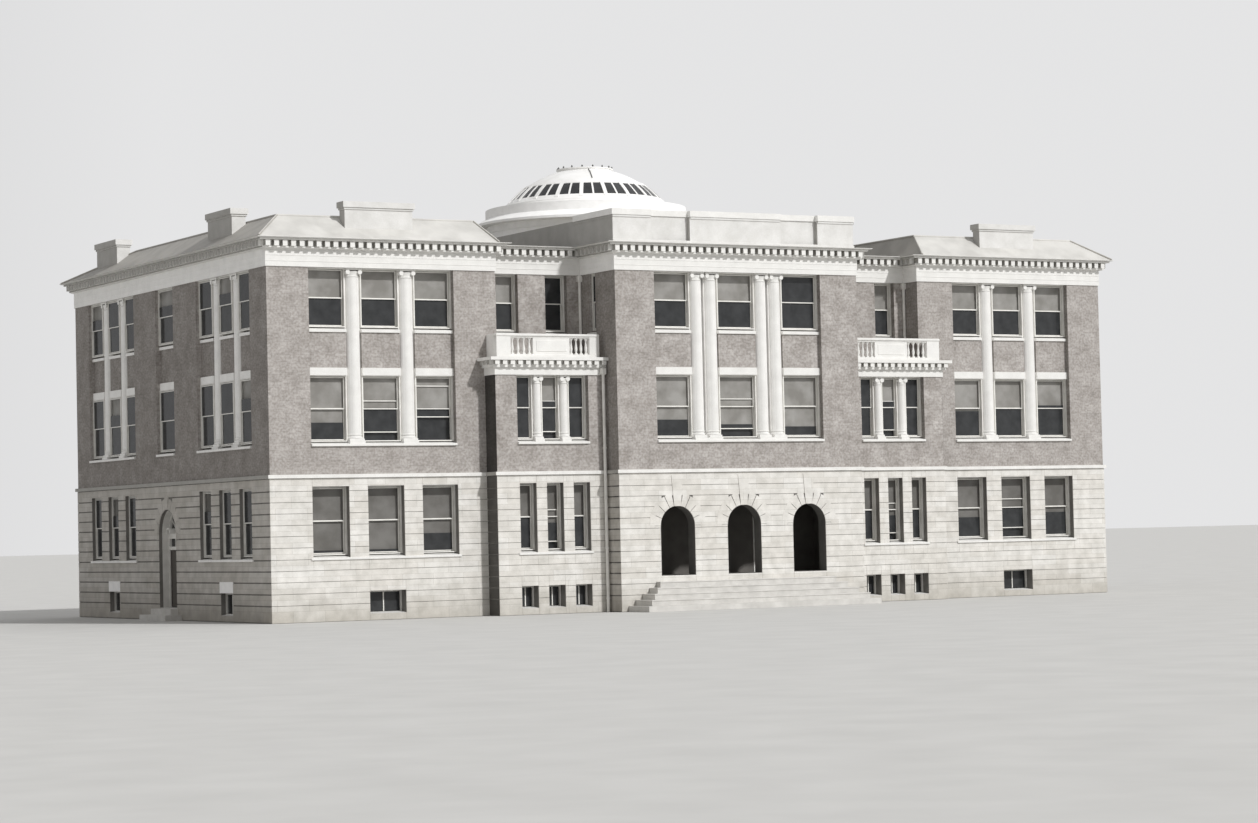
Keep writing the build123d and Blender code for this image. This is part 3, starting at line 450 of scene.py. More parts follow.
def piece(bm, name, finish, body="building", stands_for=()):
    """Turn a bmesh into a finished object that rides on a body."""
    bmesh.ops.remove_doubles(bm, verts=bm.verts, dist=1e-6)
    bmesh.ops.recalc_face_normals(bm, faces=bm.faces)
    mesh = bpy.data.meshes.new(name)
    for face in bm.faces:
        face.smooth = True
    bm.to_mesh(mesh)
    bm.free()
    mesh.set_sharp_from_angle(angle=crease)
    mesh.materials.append(finish)
    made = bpy.data.objects.new(name, mesh)
    bpy.context.collection.objects.link(made)
    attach(made, body)
    if stands_for:
        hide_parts(*stands_for)
    print(name, "triangles", sum(len(p.vertices) - 2 for p in mesh.polygons))
    return made


def spans(centre, pitch, width, count=3):
    """Start and end of equal openings about a centre."""
    first = centre - pitch * (count - 1) / 2
    return [(first + i * pitch - width / 2, first + i * pitch + width / 2) for i in range(count)]


def bays(centre, group_width, divider):
    """Spans of three bays and of the two dividers between them."""
    bay = (group_width - 2 * divider) / 3
    openings = spans(centre, bay + divider, bay)
    return openings, [(openings[0][1], openings[1][0]), (openings[1][1], openings[2][0])]


# %% [markdown]
# The windows follow the CAD's rows, so the same few sizes are repeated here: where a group
# stands on its wall, how wide each opening is and how far apart they are.

# %% Rows of windows
door_y = depth / 2
wing_middle, block_middle, side_middle = -14.32, -7.725, 4.3
wing_bays, wing_dividers = bays(wing_middle, 5.88, 0.62)
front_side_bays, front_side_dividers = bays(side_middle, 5.33, 0.62)
rear_side_bays, rear_side_dividers = bays(depth - side_middle, 5.33, 0.62)
block_bays, block_dividers = bays(block_middle, 3.05, 0.38)
pavilion_bays, pavilion_dividers = bays(0.0, 7.52, 1.24)
middle_bay = spans(door_y, 0, 1.9, 1)
wing_ground = spans(wing_middle, 2.216, 1.46)
block_ground = spans(block_middle, 1.145, 0.7)
front_side_ground = spans(side_middle, 2.0, 1.2)
rear_side_ground = spans(depth - side_middle, 2.0, 1.2)
recess_windows = spans(-7.6, 2.12, 0.95, 2)
return_window = spans(0.0, 0, 0.5, 1)
rear_groups = [spans(i * 7.15, 2.216, 1.46) for i in range(-2, 3)]
side_lights = [front_side_ground[1], rear_side_ground[1]]

basement_low, basement_high = 0.25, 1.08
ground_low, ground_high = 2.24, 4.93
second_low, second_high = 6.39, 9.0
third_low, third_high = 10.59, 12.95
sill = 0.18

# %% [markdown]
# Double-hung windows: a fixed box frame, and two sashes that slide past each other, the
# upper one outside. Seen at a slant, the white stiles and the meeting rail are what reads.
# Each ring starts as one rectangle. An inset gives it a border, the middle goes, and an
# extrusion gives it depth, which is how a joiner's frame reads: four members, one hole.
# The box frame is deep: its lining shows as a pale stripe down one side of each opening.
# Roller shades hang in many rooms, drawn to different heights, and the panes stop where a
# shade hangs, so that it shows. A few lower sashes are pushed up for air.

# %% Window joinery
# Depths of the box frame, the upper sash, the lower sash and the shade, by way along the wall
planes = {"x": (0.23, 0.33, 0.375, 0.43), "y": (0.125, 0.13, 0.172, 0.22)}
frame_face, frame_back, sash_face, sash_thick = 0.055, wall - 0.002, 0.05, 0.04
pane_inset, pane_thick, rebate, meeting_half = 0.016, 0.004, 0.005, 0.025
cloth_thick, batten_thick, batten_high = 0.003, 0.006, 0.03
pane_bm, shade_bm, old_shade_bm = (bmesh.new() for _ in range(3))
third, second, lower = (
    (bmesh.new(), shades, low + sill, high) for shades, low, high in (
        (shade_bm, third_low, third_high), (shade_bm, second_low, second_high),
        (old_shade_bm, ground_low, ground_high)))


def across(line):
    """Unit vector square to a wall."""
    return Vector((0, 1, 0) if line[0] == "x" else (1, 0, 0))


def place_on(line, u, d, z):
    """Point from the run along a wall, the depth behind its face and the height."""
    along, face, inward = line
    behind = face + inward * d
    return Vector((u, behind, z) if along == "x" else (behind, u, z))


def ring_frame(bm, line, u0, u1, z0, z1, d0, d1, face_width):
    """Add a rectangular frame: inset a rectangle, drop its middle, extrude its border."""
    middle = bm.faces.new([bm.verts.new(place_on(line, u, d0, z)) for u, z in (
        (u0, z0), (u1, z0), (u1, z1), (u0, z1))])
    middle.normal_update()
    border = bmesh.ops.inset_individual(bm, faces=[middle], thickness=face_width)["faces"]
    bmesh.ops.delete(bm, geom=[middle], context="FACES_ONLY")
    grown = bmesh.ops.extrude_face_region(bm, geom=border)["geom"]
    bmesh.ops.translate(bm, verts=[v for v in grown if isinstance(v, bmesh.types.BMVert)],
                        vec=across(line) * line[2] * (d1 - d0))


def sash(bm, panes, line, u0, u1, z0, z1, plane, shaded_from):
    """Add a sash, and the pane in its rebate up to where a shade hangs behind it."""
    ring_frame(bm, line, u0, u1, z0, z1, plane, plane + sash_thick, sash_face)
    glass = sash_face - rebate
    low, high = z0 + glass, min(z1 - glass, shaded_from)
    if high > low + rebate:
        wall_block(panes, line, u0 + glass, u1 - glass, plane + pane_inset,
                   plane + pane_inset + pane_thick, low, high)


def double_hung(bm, panes, shades, line, u0, u1, z0, z1, drawn, lifted):
    """Add a frame with two sashes, and a shade drawn down over part of the height."""
    frame_plane, upper_plane, lower_plane, shade_plane = planes[line[0]]
    ring_frame(bm, line, u0, u1, z0, z1, frame_plane, frame_back, frame_face)
    a, b = u0 + frame_face, u1 - frame_face
    low, high, middle = z0 + frame_face, z1 - frame_face, (z0 + z1) / 2
    bottom, rise = high - drawn * (high - low), lifted * (high - low)
    sash(bm, panes, line, a, b, middle - meeting_half, high, upper_plane, bottom)
    sash(bm, panes, line, a, b, low + rise, middle + meeting_half + rise, lower_plane, bottom)
    if drawn:
        shade_back = shade_plane + cloth_thick
        wall_block(shades, line, a, b, shade_plane, shade_back, bottom, high)
        wall_block(shades, line, a, b, shade_plane - batten_thick, shade_back, bottom,
                   bottom + batten_high)


def flip(bm):
    """Turn everything into its mirror image across the centre line."""
    bmesh.ops.scale(bm, verts=bm.verts, vec=(-1, 1, 1))
    bmesh.ops.reverse_faces(bm, faces=bm.faces)


def pour(source, target):
    """Move everything from one bmesh into another."""
    mesh = bpy.data.meshes.new("poured")
    source.to_mesh(mesh)
    source.free()
    target.from_mesh(mesh)
    bpy.data.meshes.remove(mesh)


def window_row(storey, line, row, habits, right_habits=None):
    """Fill a row and its mirror image; habits gives each window its shade and lift."""
    frames, shades, z0, z1 = storey
    # The rows of the pavilion and of the rear are whole: they lie on both sides of the centre
    for side in (1,) if line in (pavilion_line, rear_line) else (1, -1):
        made = [bmesh.new() for _ in range(3)]
        chosen = right_habits if side < 0 and right_habits else habits
        for (u0, u1), (drawn, lifted) in zip(row, chosen):
            double_hung(*made, line, u0, u1, z0, z1, drawn, lifted)
        for part, target in zip(made, (frames, pane_bm, shades)):
            if side < 0:
                flip(part)
            pour(part, target)


bare, shut, open_low = (0.0, 0.0), (0.5, 0.0), (0.5, 0.36)
high_shade, low_shade, long_shade = (0.3, 0.0), (0.72, 0.0), (0.95, 0.0)
for storey, line, row, *habits in (
    (third, wing_line, wing_bays, (shut, shut, shut)),
    (third, pavilion_line, pavilion_bays, (shut, shut, bare)),
    (third, recess_line, recess_windows, (shut, bare)),
    (third, return_line, return_window, (bare,)),
    (third, side_line, front_side_bays, (bare, high_shade, bare)),
    (third, side_line, middle_bay, (high_shade,)),
    (third, side_line, rear_side_bays, (bare, bare, high_shade)),
    (second, wing_line, wing_bays, (low_shade, (0.5, 0.12), open_low),
     ((0.45, 0.0), shut, (0.55, 0.0))),
    (second, pavilion_line, pavilion_bays, (low_shade, (0.8, 0.12), (0.84, 0.0))),
    (second, block_line, block_bays, (bare, (0.4, 0.1), bare)),
    (second, side_line, front_side_bays, (high_shade, bare, bare)),
    (second, side_line, middle_bay, (bare,)),
    (second, side_line, rear_side_bays, (bare, high_shade, bare)),
    (lower, wing_line, wing_ground, (long_shade, long_shade, low_shade),
     ((0.6, 0.0), (0.5, 0.14), (0.66, 0.0))),
    (lower, block_line, block_ground, (shut, (0.6, 0.1), shut)),
    (lower, side_line, front_side_ground, (bare, bare, high_shade)),
    (lower, side_line, rear_side_ground, (bare, high_shade, bare)),
):
    window_row(storey, line, row, *habits)
turns = (shut, low_shade, bare, long_shade, open_low)
for i, group in enumerate(rear_groups):
    for storey, first, pace in ((third, i, 1), (second, i + 1, 2), (lower, 2 * i + 3, 1)):
        window_row(storey, rear_line, group,
                   [turns[(first + pace * k) % len(turns)] for k in range(3)])

# %% [markdown]
# The basement lights are single low frames with one upright bar, painted like the rest.
# In the front and back walls they sit deeper than in the sides.

# %% Basement windows
light_planes, light_face, light_bar_half = {"x": 0.38, "y": 0.18}, 0.07, 0.02
light_bar, light_pane = (0.03, 0.06), 0.064
mirrored_lights = [(wing_line, wing_ground[1])]
mirrored_lights += [(block_line, opening) for opening in block_ground]
mirrored_lights += [(side_line, opening) for opening in side_lights]


def basement_light(bm, panes, line, u0, u1):
    """Add a low frame with a middle bar and its pane."""
    plane, middle = light_planes[line[0]], (u0 + u1) / 2
    low, high = basement_low + light_face, basement_high - light_face
    ring_frame(bm, line, u0, u1, basement_low, basement_high, plane, frame_back, light_face)
    wall_block(bm, line, middle - light_bar_half, middle + light_bar_half, plane + light_bar[0],
               plane + light_bar[1], low, high)
    wall_block(panes, line, u0 + light_face, u1 - light_face, plane + light_pane,
               plane + light_pane + pane_thick, low, high)


def mirror_over(bm):
    """Add the mirror image of everything across the centre line."""
    image = bm.copy()
    flip(image)
    pour(image, bm)


light_bms = bmesh.new(), bmesh.new()
for line, (u0, u1) in mirrored_lights:
    basement_light(*light_bms, line, u0, u1)
for made in light_bms:
    mirror_over(made)
for group in rear_groups:
    basement_light(*light_bms, rear_line, *group[1])
for made, target in zip(light_bms, (lower[0], pane_bm)):
    pour(made, target)

for storey, name, node in ((third, "third_floor_windows", "third_sashes"),
                           (second, "second_floor_windows", "second_sashes"),
                           (lower, "lower_windows", "lower_sashes")):
    piece(storey[0], name, oil_paint, stands_for=(node,))
piece(pane_bm, "sash_panes", window_glass)
piece(shade_bm, "roller_shades", linen_shade)
piece(old_shade_bm, "ground_floor_shades", old_linen_shade)

# %% [markdown]
# The base is channelled: each course is a run of stone that stands 28 mm proud, with sunk
# joints between, so that sun draws a thin line under every course. A run is one long block
# with softened edges. It stops at each doorway and window, and over a window a flat lintel
# stone closes the course. Upright joints are only drawn by the finish, as they are that fine.

# %% Channelled courses
proud, stone_edge, least_lintel = 0.028, 0.008, 0.1
front_channel, side_channel = 0.013, 0.05
belt_low, belt_high = 5.24, 5.37
joint_heights = [0.0, 0.62, 1.04, 1.46, 1.87, 2.28, 2.71, 3.13, 3.53, 3.95, 4.36, 4.76, belt_low]
courses = list(zip(joint_heights, joint_heights[1:]))


def course_runs(start, end, openings, z0, z1, channel):
    """Stretches of one course around the openings that it meets, with their heights."""
    low_joint, high_joint = z0 + channel / 2, z1 - channel / 2
    runs, edge = [], start
    met = [o for o in sorted(openings) if o[3] > z0 + channel and o[2] < z1 - channel]
    for u0, u1, low, high in met:
        if u0 > edge:
            runs.append((edge, u0, low_joint, high_joint))
        edge = max(edge, u1)
        covered = any(o[0] <= u0 and o[1] >= u1 and o[3] >= z1 for o in met)
        if high < z1 - least_lintel and not covered:
            runs.append((u0, u1, high, high_joint))
        if low > z0 + channel:
            runs.append((u0, u1, low_joint, low))
    if edge < end:
        runs.append((edge, end, low_joint, high_joint))
    return runs


def clad(bm, line, start, end, openings):
    """Lay every course of a wall around its openings."""
    channel = side_channel if line[0] == "y" else front_channel
    for z0, z1 in courses:
        for u0, u1, low, high in course_runs(start, end, openings, z0, z1, channel):
            wall_block(bm, line, u0, u1, -proud, bedded, low, high, stone_edge)


def base_openings(row, lights, light_top=basement_high):
    """Openings of ground floor windows and of basement lights, with their heights."""
    return ([(u0, u1, ground_low, ground_high) for u0, u1 in row]
            + [(u0, u1, basement_low, light_top) for u0, u1 in lights])


# %% [markdown]
# Where a block steps out from the wing, a narrow return lies in a shaded corner. Its courses
# are stone in painted shade, and a 4 mm skin of brick in painted shade lies above them.

# %% Shaded corners
shaded_corner_skin, block_top = 0.004, 9.28
shaded_corner_stone_bm, shaded_corner_brick_bm = bmesh.new(), bmesh.new()
clad(shaded_corner_stone_bm, block_return, block_y, 0.0, [])
wall_block(shaded_corner_brick_bm, block_return, block_y, 0.0, -shaded_corner_skin, bedded, belt_high, block_top)
for made, name, finish, slot in (
    (shaded_corner_stone_bm, "painted_shade_base_corners", stone_in_painted_shade, "base_stone"),
    (shaded_corner_brick_bm, "painted_shade_brick_corners", brick_in_painted_shade, "brick"),
):
    mirror_over(made)
    piece(made, name, finish)

# %% [markdown]
# An arch breaks the courses. Its stones are wedges that point to the arch's centre, with a
# tall keystone in the middle. A wedge is made as a mason's template is: one upright outline
# of its end, spun about the centre through a few degrees. The courses run in behind.

# %% Arch stones
porch_radius, porch_spring, porch_pitch = 0.755, 3.215, 2.975
porch_floor, porch_ring, porch_joints = 1.32, 0.5, (0, 22, 43, 63, 79)
door_radius, door_spring, door_ring, door_joints = 0.95, 3.37, 0.42, (0, 22, 44, 66, 81)
# Keystones: half the width at the foot and at the top, and the height of the top
porch_key, door_key = (0.15, 0.25, 5.14), (0.14, 0.2, 4.95)
wedge_gap, wedge_front, key_front = math.radians(1.3), -proud - 0.006, -proud - 0.02
key_tuck, foot_overlap, foot_edge, lintel_top = 0.012, 0.02, 0.002, 1.5


def sweep(bm, points, centre, axis, angle, steps):
    """Join points into a face and spin it about an axis into a solid bar."""
    verts = [bm.verts.new(point) for point in points]
    section = bm.faces.new(verts)
    bmesh.ops.spin(bm, geom=[section, *verts, *section.edges], cent=centre, axis=axis,
                   angle=angle, steps=steps, use_duplicate=False)


def wedge(bm, line, centre, spring, inner, outer, start, end, front):
    """Spin the end outline of an arch stone about the arch's centre."""
    ends = ((inner, front), (outer, front), (outer, bedded), (inner, bedded))
    sweep(bm, [place_on(line, centre + r * math.cos(start), d, spring + r * math.sin(start))
               for r, d in ends], place_on(line, centre, 0, spring), across(line),
          (-1 if line[0] == "x" else 1) * (end - start), 3)


def keystone(bm, line, centre, low, half, top_half, top):
    """Add a tapered keystone: a block whose upper end is wider."""
    along = 0 if line[0] == "x" else 1
    for v in wall_block(bm, line, centre - half, centre + half, key_front, bedded, low, top):
        if v.co.z > (low + top) / 2:
            v.co[along] = centre + (v.co[along] - centre) * (top_half / half)


def arch_stones(bm, line, centre, spring, radius, width, joints, key):
    """Add an arch's feet beside the cut-back courses, its wedges and its keystone."""
    z0 = max(low for low, high in courses if low < spring) + front_channel / 2
    for side in (-1, 1):
        u0, u1 = sorted((centre + side * radius,
                         centre + side * (radius + width / 2 + foot_overlap)))
        wall_block(bm, line, u0, u1, -proud, bedded, z0, spring, foot_edge)
    for low, high in zip(joints, joints[1:]):
        a, b = math.radians(low) + wedge_gap / 2, math.radians(high) - wedge_gap / 2
        for start, end in ((a, b), (math.pi - b, math.pi - a)):
            wedge(bm, line, centre, spring, radius, radius + width, start, end, wedge_front)
    keystone(bm, line, centre, spring + radius - key_tuck, *key)


def arch_gaps(centre, foot, spring, radius, width):
    """Openings that keep each course behind the wedges, as wide as the arch is at its foot."""
    reach = radius + width / 2
    gaps = [(centre - radius, centre + radius, foot, spring)]
    for z0, z1 in courses:
        if z1 > spring and z0 < spring + reach:
            half = math.sqrt(reach ** 2 - max(0.0, z0 - spring) ** 2)
            gaps.append((centre - half, centre + half, z0, z1))
    return gaps


base_bm = bmesh.new()
clad(base_bm, wing_line, -half_width - proud, -block_outer_x,
     base_openings(wing_ground, wing_ground[1:2]))
clad(base_bm, block_line, -block_outer_x - proud, -pavilion_half,
     base_openings(block_ground, block_ground))
clad(base_bm, side_line, 0.0, depth,
     base_openings(front_side_ground + rear_side_ground, side_lights, lintel_top)
     + arch_gaps(door_y, 0.0, door_spring, door_radius, door_ring))
clad(base_bm, return_line, pavilion_y, block_y, [])
arch_stones(base_bm, side_line, door_y, door_spring, door_radius, door_ring, door_joints,
            door_key)
mirror_over(base_bm)

porch_gaps = []
for centre in (-porch_pitch, 0.0, porch_pitch):
    porch_gaps += arch_gaps(centre, porch_floor, porch_spring, porch_radius, porch_ring)
    arch_stones(base_bm, pavilion_line, centre, porch_spring, porch_radius, porch_ring,
                porch_joints, porch_key)
clad(base_bm, pavilion_line, -pavilion_half - proud, pavilion_half + proud, porch_gaps)
rear_openings = []
for group in rear_groups:
    rear_openings += base_openings(group, group[1:2])
clad(base_bm, rear_line, -half_width - proud, half_width + proud, rear_openings)
piece(base_bm, "channelled_base_stones", base_stone)

# %% [markdown]
# The side doorways are lined with painted boards, from a hand's width inside the wall face
# back to the door frame. Each lining is two upright boards and one bent round the arch.

# %% Side door linings
lining_thick, lining_front, lining_back, threshold, bent_steps = 0.02, 0.13, 0.395, 0.48, 16
lining_inner = door_radius - lining_thick
lining_bm = bmesh.new()
for side in (-1, 1):
    u0, u1 = sorted((door_y + side * door_radius, door_y + side * lining_inner))
    wall_block(lining_bm, side_line, u0, u1, lining_front, lining_back, threshold, door_spring)
sweep(lining_bm, [place_on(side_line, door_y + r, d, door_spring) for r, d in (
    (door_radius, lining_front), (lining_inner, lining_front), (lining_inner, lining_back),
    (door_radius, lining_back))],
      place_on(side_line, door_y, 0, door_spring), across(side_line), math.pi, bent_steps)
mirror_over(lining_bm)
piece(lining_bm, "side_door_linings", oil_paint)

# %% [markdown]
# Stone sills are weathered: their tops fall outwards so that rain runs off. A block is cut
# level first, then the front of its top is pushed down. Under a group of tall bays one ledge
# runs through, with a level pad below each column.

# %% Weathered sills
ledge_out, ledge_gap, ledge_ear, ledge_edge, sill_fall = 0.08, 0.001, 0.09, 0.012, 0.09
tongue_out, high_setback, high_fall = 0.02, 0.14, 0.07
light_sill_below, light_sill_above, light_sill_back, light_sill_fall = 0.02, 0.05, 0.4, 0.05
sill_bm = bmesh.new()


def sloped_block(bm, line, u0, u1, d0, d1, z0, z1, fall):
    """Add a block whose top falls towards the outside of the wall."""
    axis, outer = 1 if line[0] == "x" else 0, line[1] + line[2] * d0
    for v in wall_block(bm, line, u0, u1, d0, d1, z0, z1):
        if abs(v.co[axis] - outer) < 1e-4 and v.co.z > (z0 + z1) / 2:
            v.co.z -= fall


def sills(line, row, z0, ear, pads=()):
    """Add a ledge under a row, a sloped tongue in each opening and level pads for columns."""
    wall_block(sill_bm, line, row[0][0] - ear, row[-1][1] + ear, -ledge_out, -ledge_gap,
               z0, z0 + sill - sill_fall, ledge_edge)
    for u0, u1 in row:
        sloped_block(sill_bm, line, u0, u1, -tongue_out, wall, z0, z0 + sill, sill_fall)
    for u0, u1 in pads:
        wall_block(sill_bm, line, u0, u1, 0.0, wall, z0, z0 + sill)


def group_sills(line, row, pads):
    """Add the sills of a group of bays: of both brick storeys, or of one in the blocks."""
    sills(line, row, second_low, 0.0, pads)
    if line != block_line:
        for u0, u1 in row:
            sloped_block(sill_bm, line, u0, u1, high_setback, wall, third_low,
                         third_low + sill, high_fall)


for line, row, pads in (
    (wing_line, wing_bays, wing_dividers), (side_line, front_side_bays, front_side_dividers),
    (side_line, rear_side_bays, rear_side_dividers), (side_line, middle_bay, []),
    (block_line, block_bays, block_dividers),
):
    group_sills(line, row, pads)
for line, row, low in (
    (wing_line, wing_ground, ground_low), (block_line, block_ground, ground_low),
    (side_line, front_side_ground, ground_low), (side_line, rear_side_ground, ground_low),
    (recess_line, recess_windows, third_low), (return_line, return_window, third_low),
):
    sills(line, row, low, ledge_ear)
for line, (u0, u1) in mirrored_lights:
    sloped_block(sill_bm, line, u0, u1, -tongue_out, light_sill_back,
                 basement_low - light_sill_below, basement_low + light_sill_above,
                 light_sill_fall)
mirror_over(sill_bm)
group_sills(pavilion_line, pavilion_bays, pavilion_dividers)
for group in rear_groups:
    for low in (ground_low, second_low, third_low):
        sills(rear_line, group, low, ledge_ear)
piece(sill_bm, "weathered_sills", trim_stone, stands_for=("window_sills",))

# %% [markdown]
# Over the low side windows stand plain white lintel blocks, one stone each.

# %% Basement lintels
lintel_ear, lintel_proud, lintel_edge = 0.06, 0.04, 0.01
lintel_bm = bmesh.new()
for u0, u1 in side_lights:
    wall_block(lintel_bm, side_line, u0 - lintel_ear, u1 + lintel_ear, -lintel_proud, bedded,
               basement_high, lintel_top, lintel_edge)
mirror_over(lintel_bm)
piece(lintel_bm, "basement_lintels", limewash)

# %% [markdown]
# A cornice is one profile carried round the building. The profile is drawn as distances out
# from the wall and heights. A loop of edges on the wall line is extruded once per point of
# the profile, and each corner moves along its own mitre, outwards or inwards. The last loop
# is bridged to the first, so the moulding is closed.

# %% Main cornice
third_corners = [(-half_width, depth, -1, 1), (-half_width, 0.0, -1, -1),
                 (-wing_inner_x, 0.0, 1, -1), (-wing_inner_x, recess_y, 1, -1),
                 (-pavilion_half, recess_y, -1, -1), (-pavilion_half, pavilion_y, -1, -1)]
third_corners += [(-x, y, -mx, my) for x, y, mx, my in reversed(third_corners)]


def moulding(bm, corners, profile):
    """Carry a closed profile of distances out and heights round a closed outline."""
    out, z = profile[0]
    spots = [(x + mx * out, y + my * out) for x, y, mx, my in corners]
    verts = [bm.verts.new((x, y, z)) for x, y in spots]
    first = [bm.edges.new((a, b)) for a, b in zip(verts, verts[1:] + verts[:1])]
    loop = first
    for out, z in profile[1:]:
        grown = bmesh.ops.extrude_edge_only(bm, edges=loop)["geom"]
        placed = []
        for v in [item for item in grown if isinstance(item, bmesh.types.BMVert)]:
            i = min(range(len(spots)),
                    key=lambda k: (spots[k][0] - v.co.x) ** 2 + (spots[k][1] - v.co.y) ** 2)
            x, y, mx, my = corners[i]
            placed.append((v, x + mx * out, y + my * out))
        for v, x, y in placed:
            v.co = (x, y, z)
        spots = [(x + mx * out, y + my * out) for x, y, mx, my in corners]
        loop = [e for e in grown if isinstance(e, bmesh.types.BMEdge)
                and e.verts[0].co.z == e.verts[1].co.z == v.co.z and len(e.link_faces) == 1]
    bmesh.ops.bridge_loops(bm, edges=loop + first)


cornice_bm = bmesh.new()
moulding(cornice_bm, third_corners, [
    (-0.5, 13.58), (0.1, 13.58), (0.19, 13.62), (0.19, 13.668), (0.1, 13.67), (0.1, 13.89),
    (0.36, 13.89), (0.38, 13.93), (0.36, 13.935), (0.36, 13.95), (0.44, 13.96), (0.47, 13.97),
    (0.5, 13.985), (0.5, 14.0), (-0.5, 14.0),
])
piece(cornice_bm, "moulded_cornice", eaves_stone, stands_for=("cornice",))

# %% [markdown]
# Dentils are small blocks in a row under the cornice, 185 mm wide with about 145 mm between
# them. Each straight run gets a whole number of them. They are repeated hundreds of times,
# so each is a bare block of six faces.

# %% Dentils
dentil_pitch, dentil_width, round_corner = 0.33, 0.185, 0.2
# Depths and heights of a row under the main cornice, and of one under a balcony
main_dentils, balcony_dentils = (-0.33, -0.09, 13.67, 13.885), (-0.28, -0.12, 9.38, 9.535)
wing_return = ("y", -wing_inner_x, -1)


def dentil_run(bm, line, start, end, section=main_dentils):
    """Add evenly spaced dentils along a run of wall."""
    count = max(1, round((end - start) / dentil_pitch))
    pitch = (end - start) / count
    for i in range(count):
        middle = start + (i + 0.5) * pitch
        wall_block(bm, line, middle - dentil_width / 2, middle + dentil_width / 2, *section)


dentil_bm = bmesh.new()
for line, start, end in (
    (side_line, -round_corner, depth + round_corner),
    (wing_line, -half_width - round_corner, -wing_inner_x + round_corner),
    (wing_return, -0.06, 0.9), (recess_line, -wing_inner_x + 0.1, -pavilion_half - 0.1),
    (return_line, -2.0, 0.85),
):
    dentil_run(dentil_bm, line, start, end)
dentil_run(dentil_bm, block_line, -block_outer_x - round_corner, -pavilion_half, balcony_dentils)
dentil_run(dentil_bm, block_return, -1.0, -0.05, balcony_dentils)
mirror_over(dentil_bm)
for line, end in ((pavilion_line, pavilion_half), (rear_line, half_width)):
    dentil_run(dentil_bm, line, -end - round_corner, end + round_corner)
piece(dentil_bm, "dentils", eaves_stone)

# %% [markdown]
# Two thin fillets run round the frieze, each a small closed moulding of its own.

# %% Frieze fillets
fillet_bm = bmesh.new()
for low in (13.13, 13.34):
    moulding(fillet_bm, third_corners, [
        (0.02, low), (0.045, low), (0.05, low + 0.01), (0.05, low + 0.03), (0.02, low + 0.04),
    ])
piece(fillet_bm, "frieze_fillets", trim_stone)

# %% [markdown]
# The giant columns are turned. Half of a column's outline, from the base mouldings up a
# shaft that thins a little towards the top, is spun once round its axis. A square plinth
# and abacus are blocks, and two rolls at the sides of the capital stand for its scrolls.
# Each column stands before a plain pier, as in the CAD.

# %% Columns
column_low, setback, pier_depth = second_low + sill, 0.08, 0.3
plinth_high, capital_high, abacus_high = 0.1, 0.33, 0.07
front_slimmer, side_slimmer, pavilion_shaft = 0.025, 0.015, 0.57
# The shaft's shares of the foot radius a third of the way up and at the neck
lower_share, lower_share_at, neck_share = 0.995, 0.35, 0.93
block_back, scroll_radius = pier_depth + 0.1, 0.085
scroll_inset, scroll_front, scroll_back = scroll_radius - 0.02, setback - 0.02, pier_depth + 0.05


def turned(bm, centre_x, centre_y, outline, steps=20, closed=False):
    """Spin an outline of radii and heights about an upright axis."""
    verts = [bm.verts.new((centre_x + r, centre_y, z)) for r, z in outline]
    beyond = verts[1:] + verts[:1] if closed else verts[1:]
    edges = [bm.edges.new(pair) for pair in zip(verts, beyond)]
    bmesh.ops.spin(bm, geom=verts + edges, cent=(centre_x, centre_y, 0), axis=(0, 0, 1),
                   angle=math.tau, steps=steps, use_merge=True)


def round_bar(bm, radius, length, segments, turn, centre):
    """Add a cylinder, turned by a matrix and moved to its centre."""
    made = bmesh.ops.create_cone(bm, cap_ends=True, segments=segments, radius1=radius,
                                 radius2=radius, depth=length)["verts"]
    bmesh.ops.rotate(bm, verts=made, cent=(0, 0, 0), matrix=turn)
    bmesh.ops.translate(bm, verts=made, vec=centre)


def column(bm, line, u0, u1, z1):
    """Add one turned column with its plinth, capital and the pier behind it."""
    z0, foot, neck = column_low, column_low + plinth_high, z1 - capital_high
    half = (u1 - u0) / 2
    r = half - (side_slimmer if line[0] == "y" else front_slimmer)
    centre = place_on(line, (u0 + u1) / 2, setback + half - front_slimmer, 0)
    top = r * neck_share
    turned(bm, centre.x, centre.y, [
        (0.0, foot), (r + 0.035, foot), (r + 0.045, foot + 0.035), (r + 0.03, foot + 0.07),
        (r + 0.005, foot + 0.08), (r + 0.005, foot + 0.11), (r + 0.025, foot + 0.13),
        (r + 0.025, foot + 0.16), (r, foot + 0.18),
        (r * lower_share, z0 + (z1 - z0) * lower_share_at),
        (top, neck), (top + 0.02, neck + 0.015), (top + 0.02, neck + 0.035),
        (top, neck + 0.05), (top, neck + 0.12), (r + 0.02, neck + 0.22), (0.0, neck + 0.22),
    ])
    for ear, out, low, high, soft in ((-0.01, 0.03, z0, foot, 0.008),
                                      (0.01, 0.035, z1 - abacus_high, z1 - bedded, 0.01)):
        wall_block(bm, line, u0 - ear, u1 + ear, setback - out, block_back, low, high, soft)
    for side in (u0 + scroll_inset, u1 - scroll_inset):
        round_bar(bm, scroll_radius, scroll_back - scroll_front, 12,
                  Matrix.Rotation(math.pi / 2, 3, "X" if line[0] == "x" else "Y"),
                  place_on(line, side, (scroll_front + scroll_back) / 2,
                           z1 - abacus_high - scroll_radius + 0.01))
    wall_block(bm, line, u0, u1, pier_depth, wall, z0, z1)


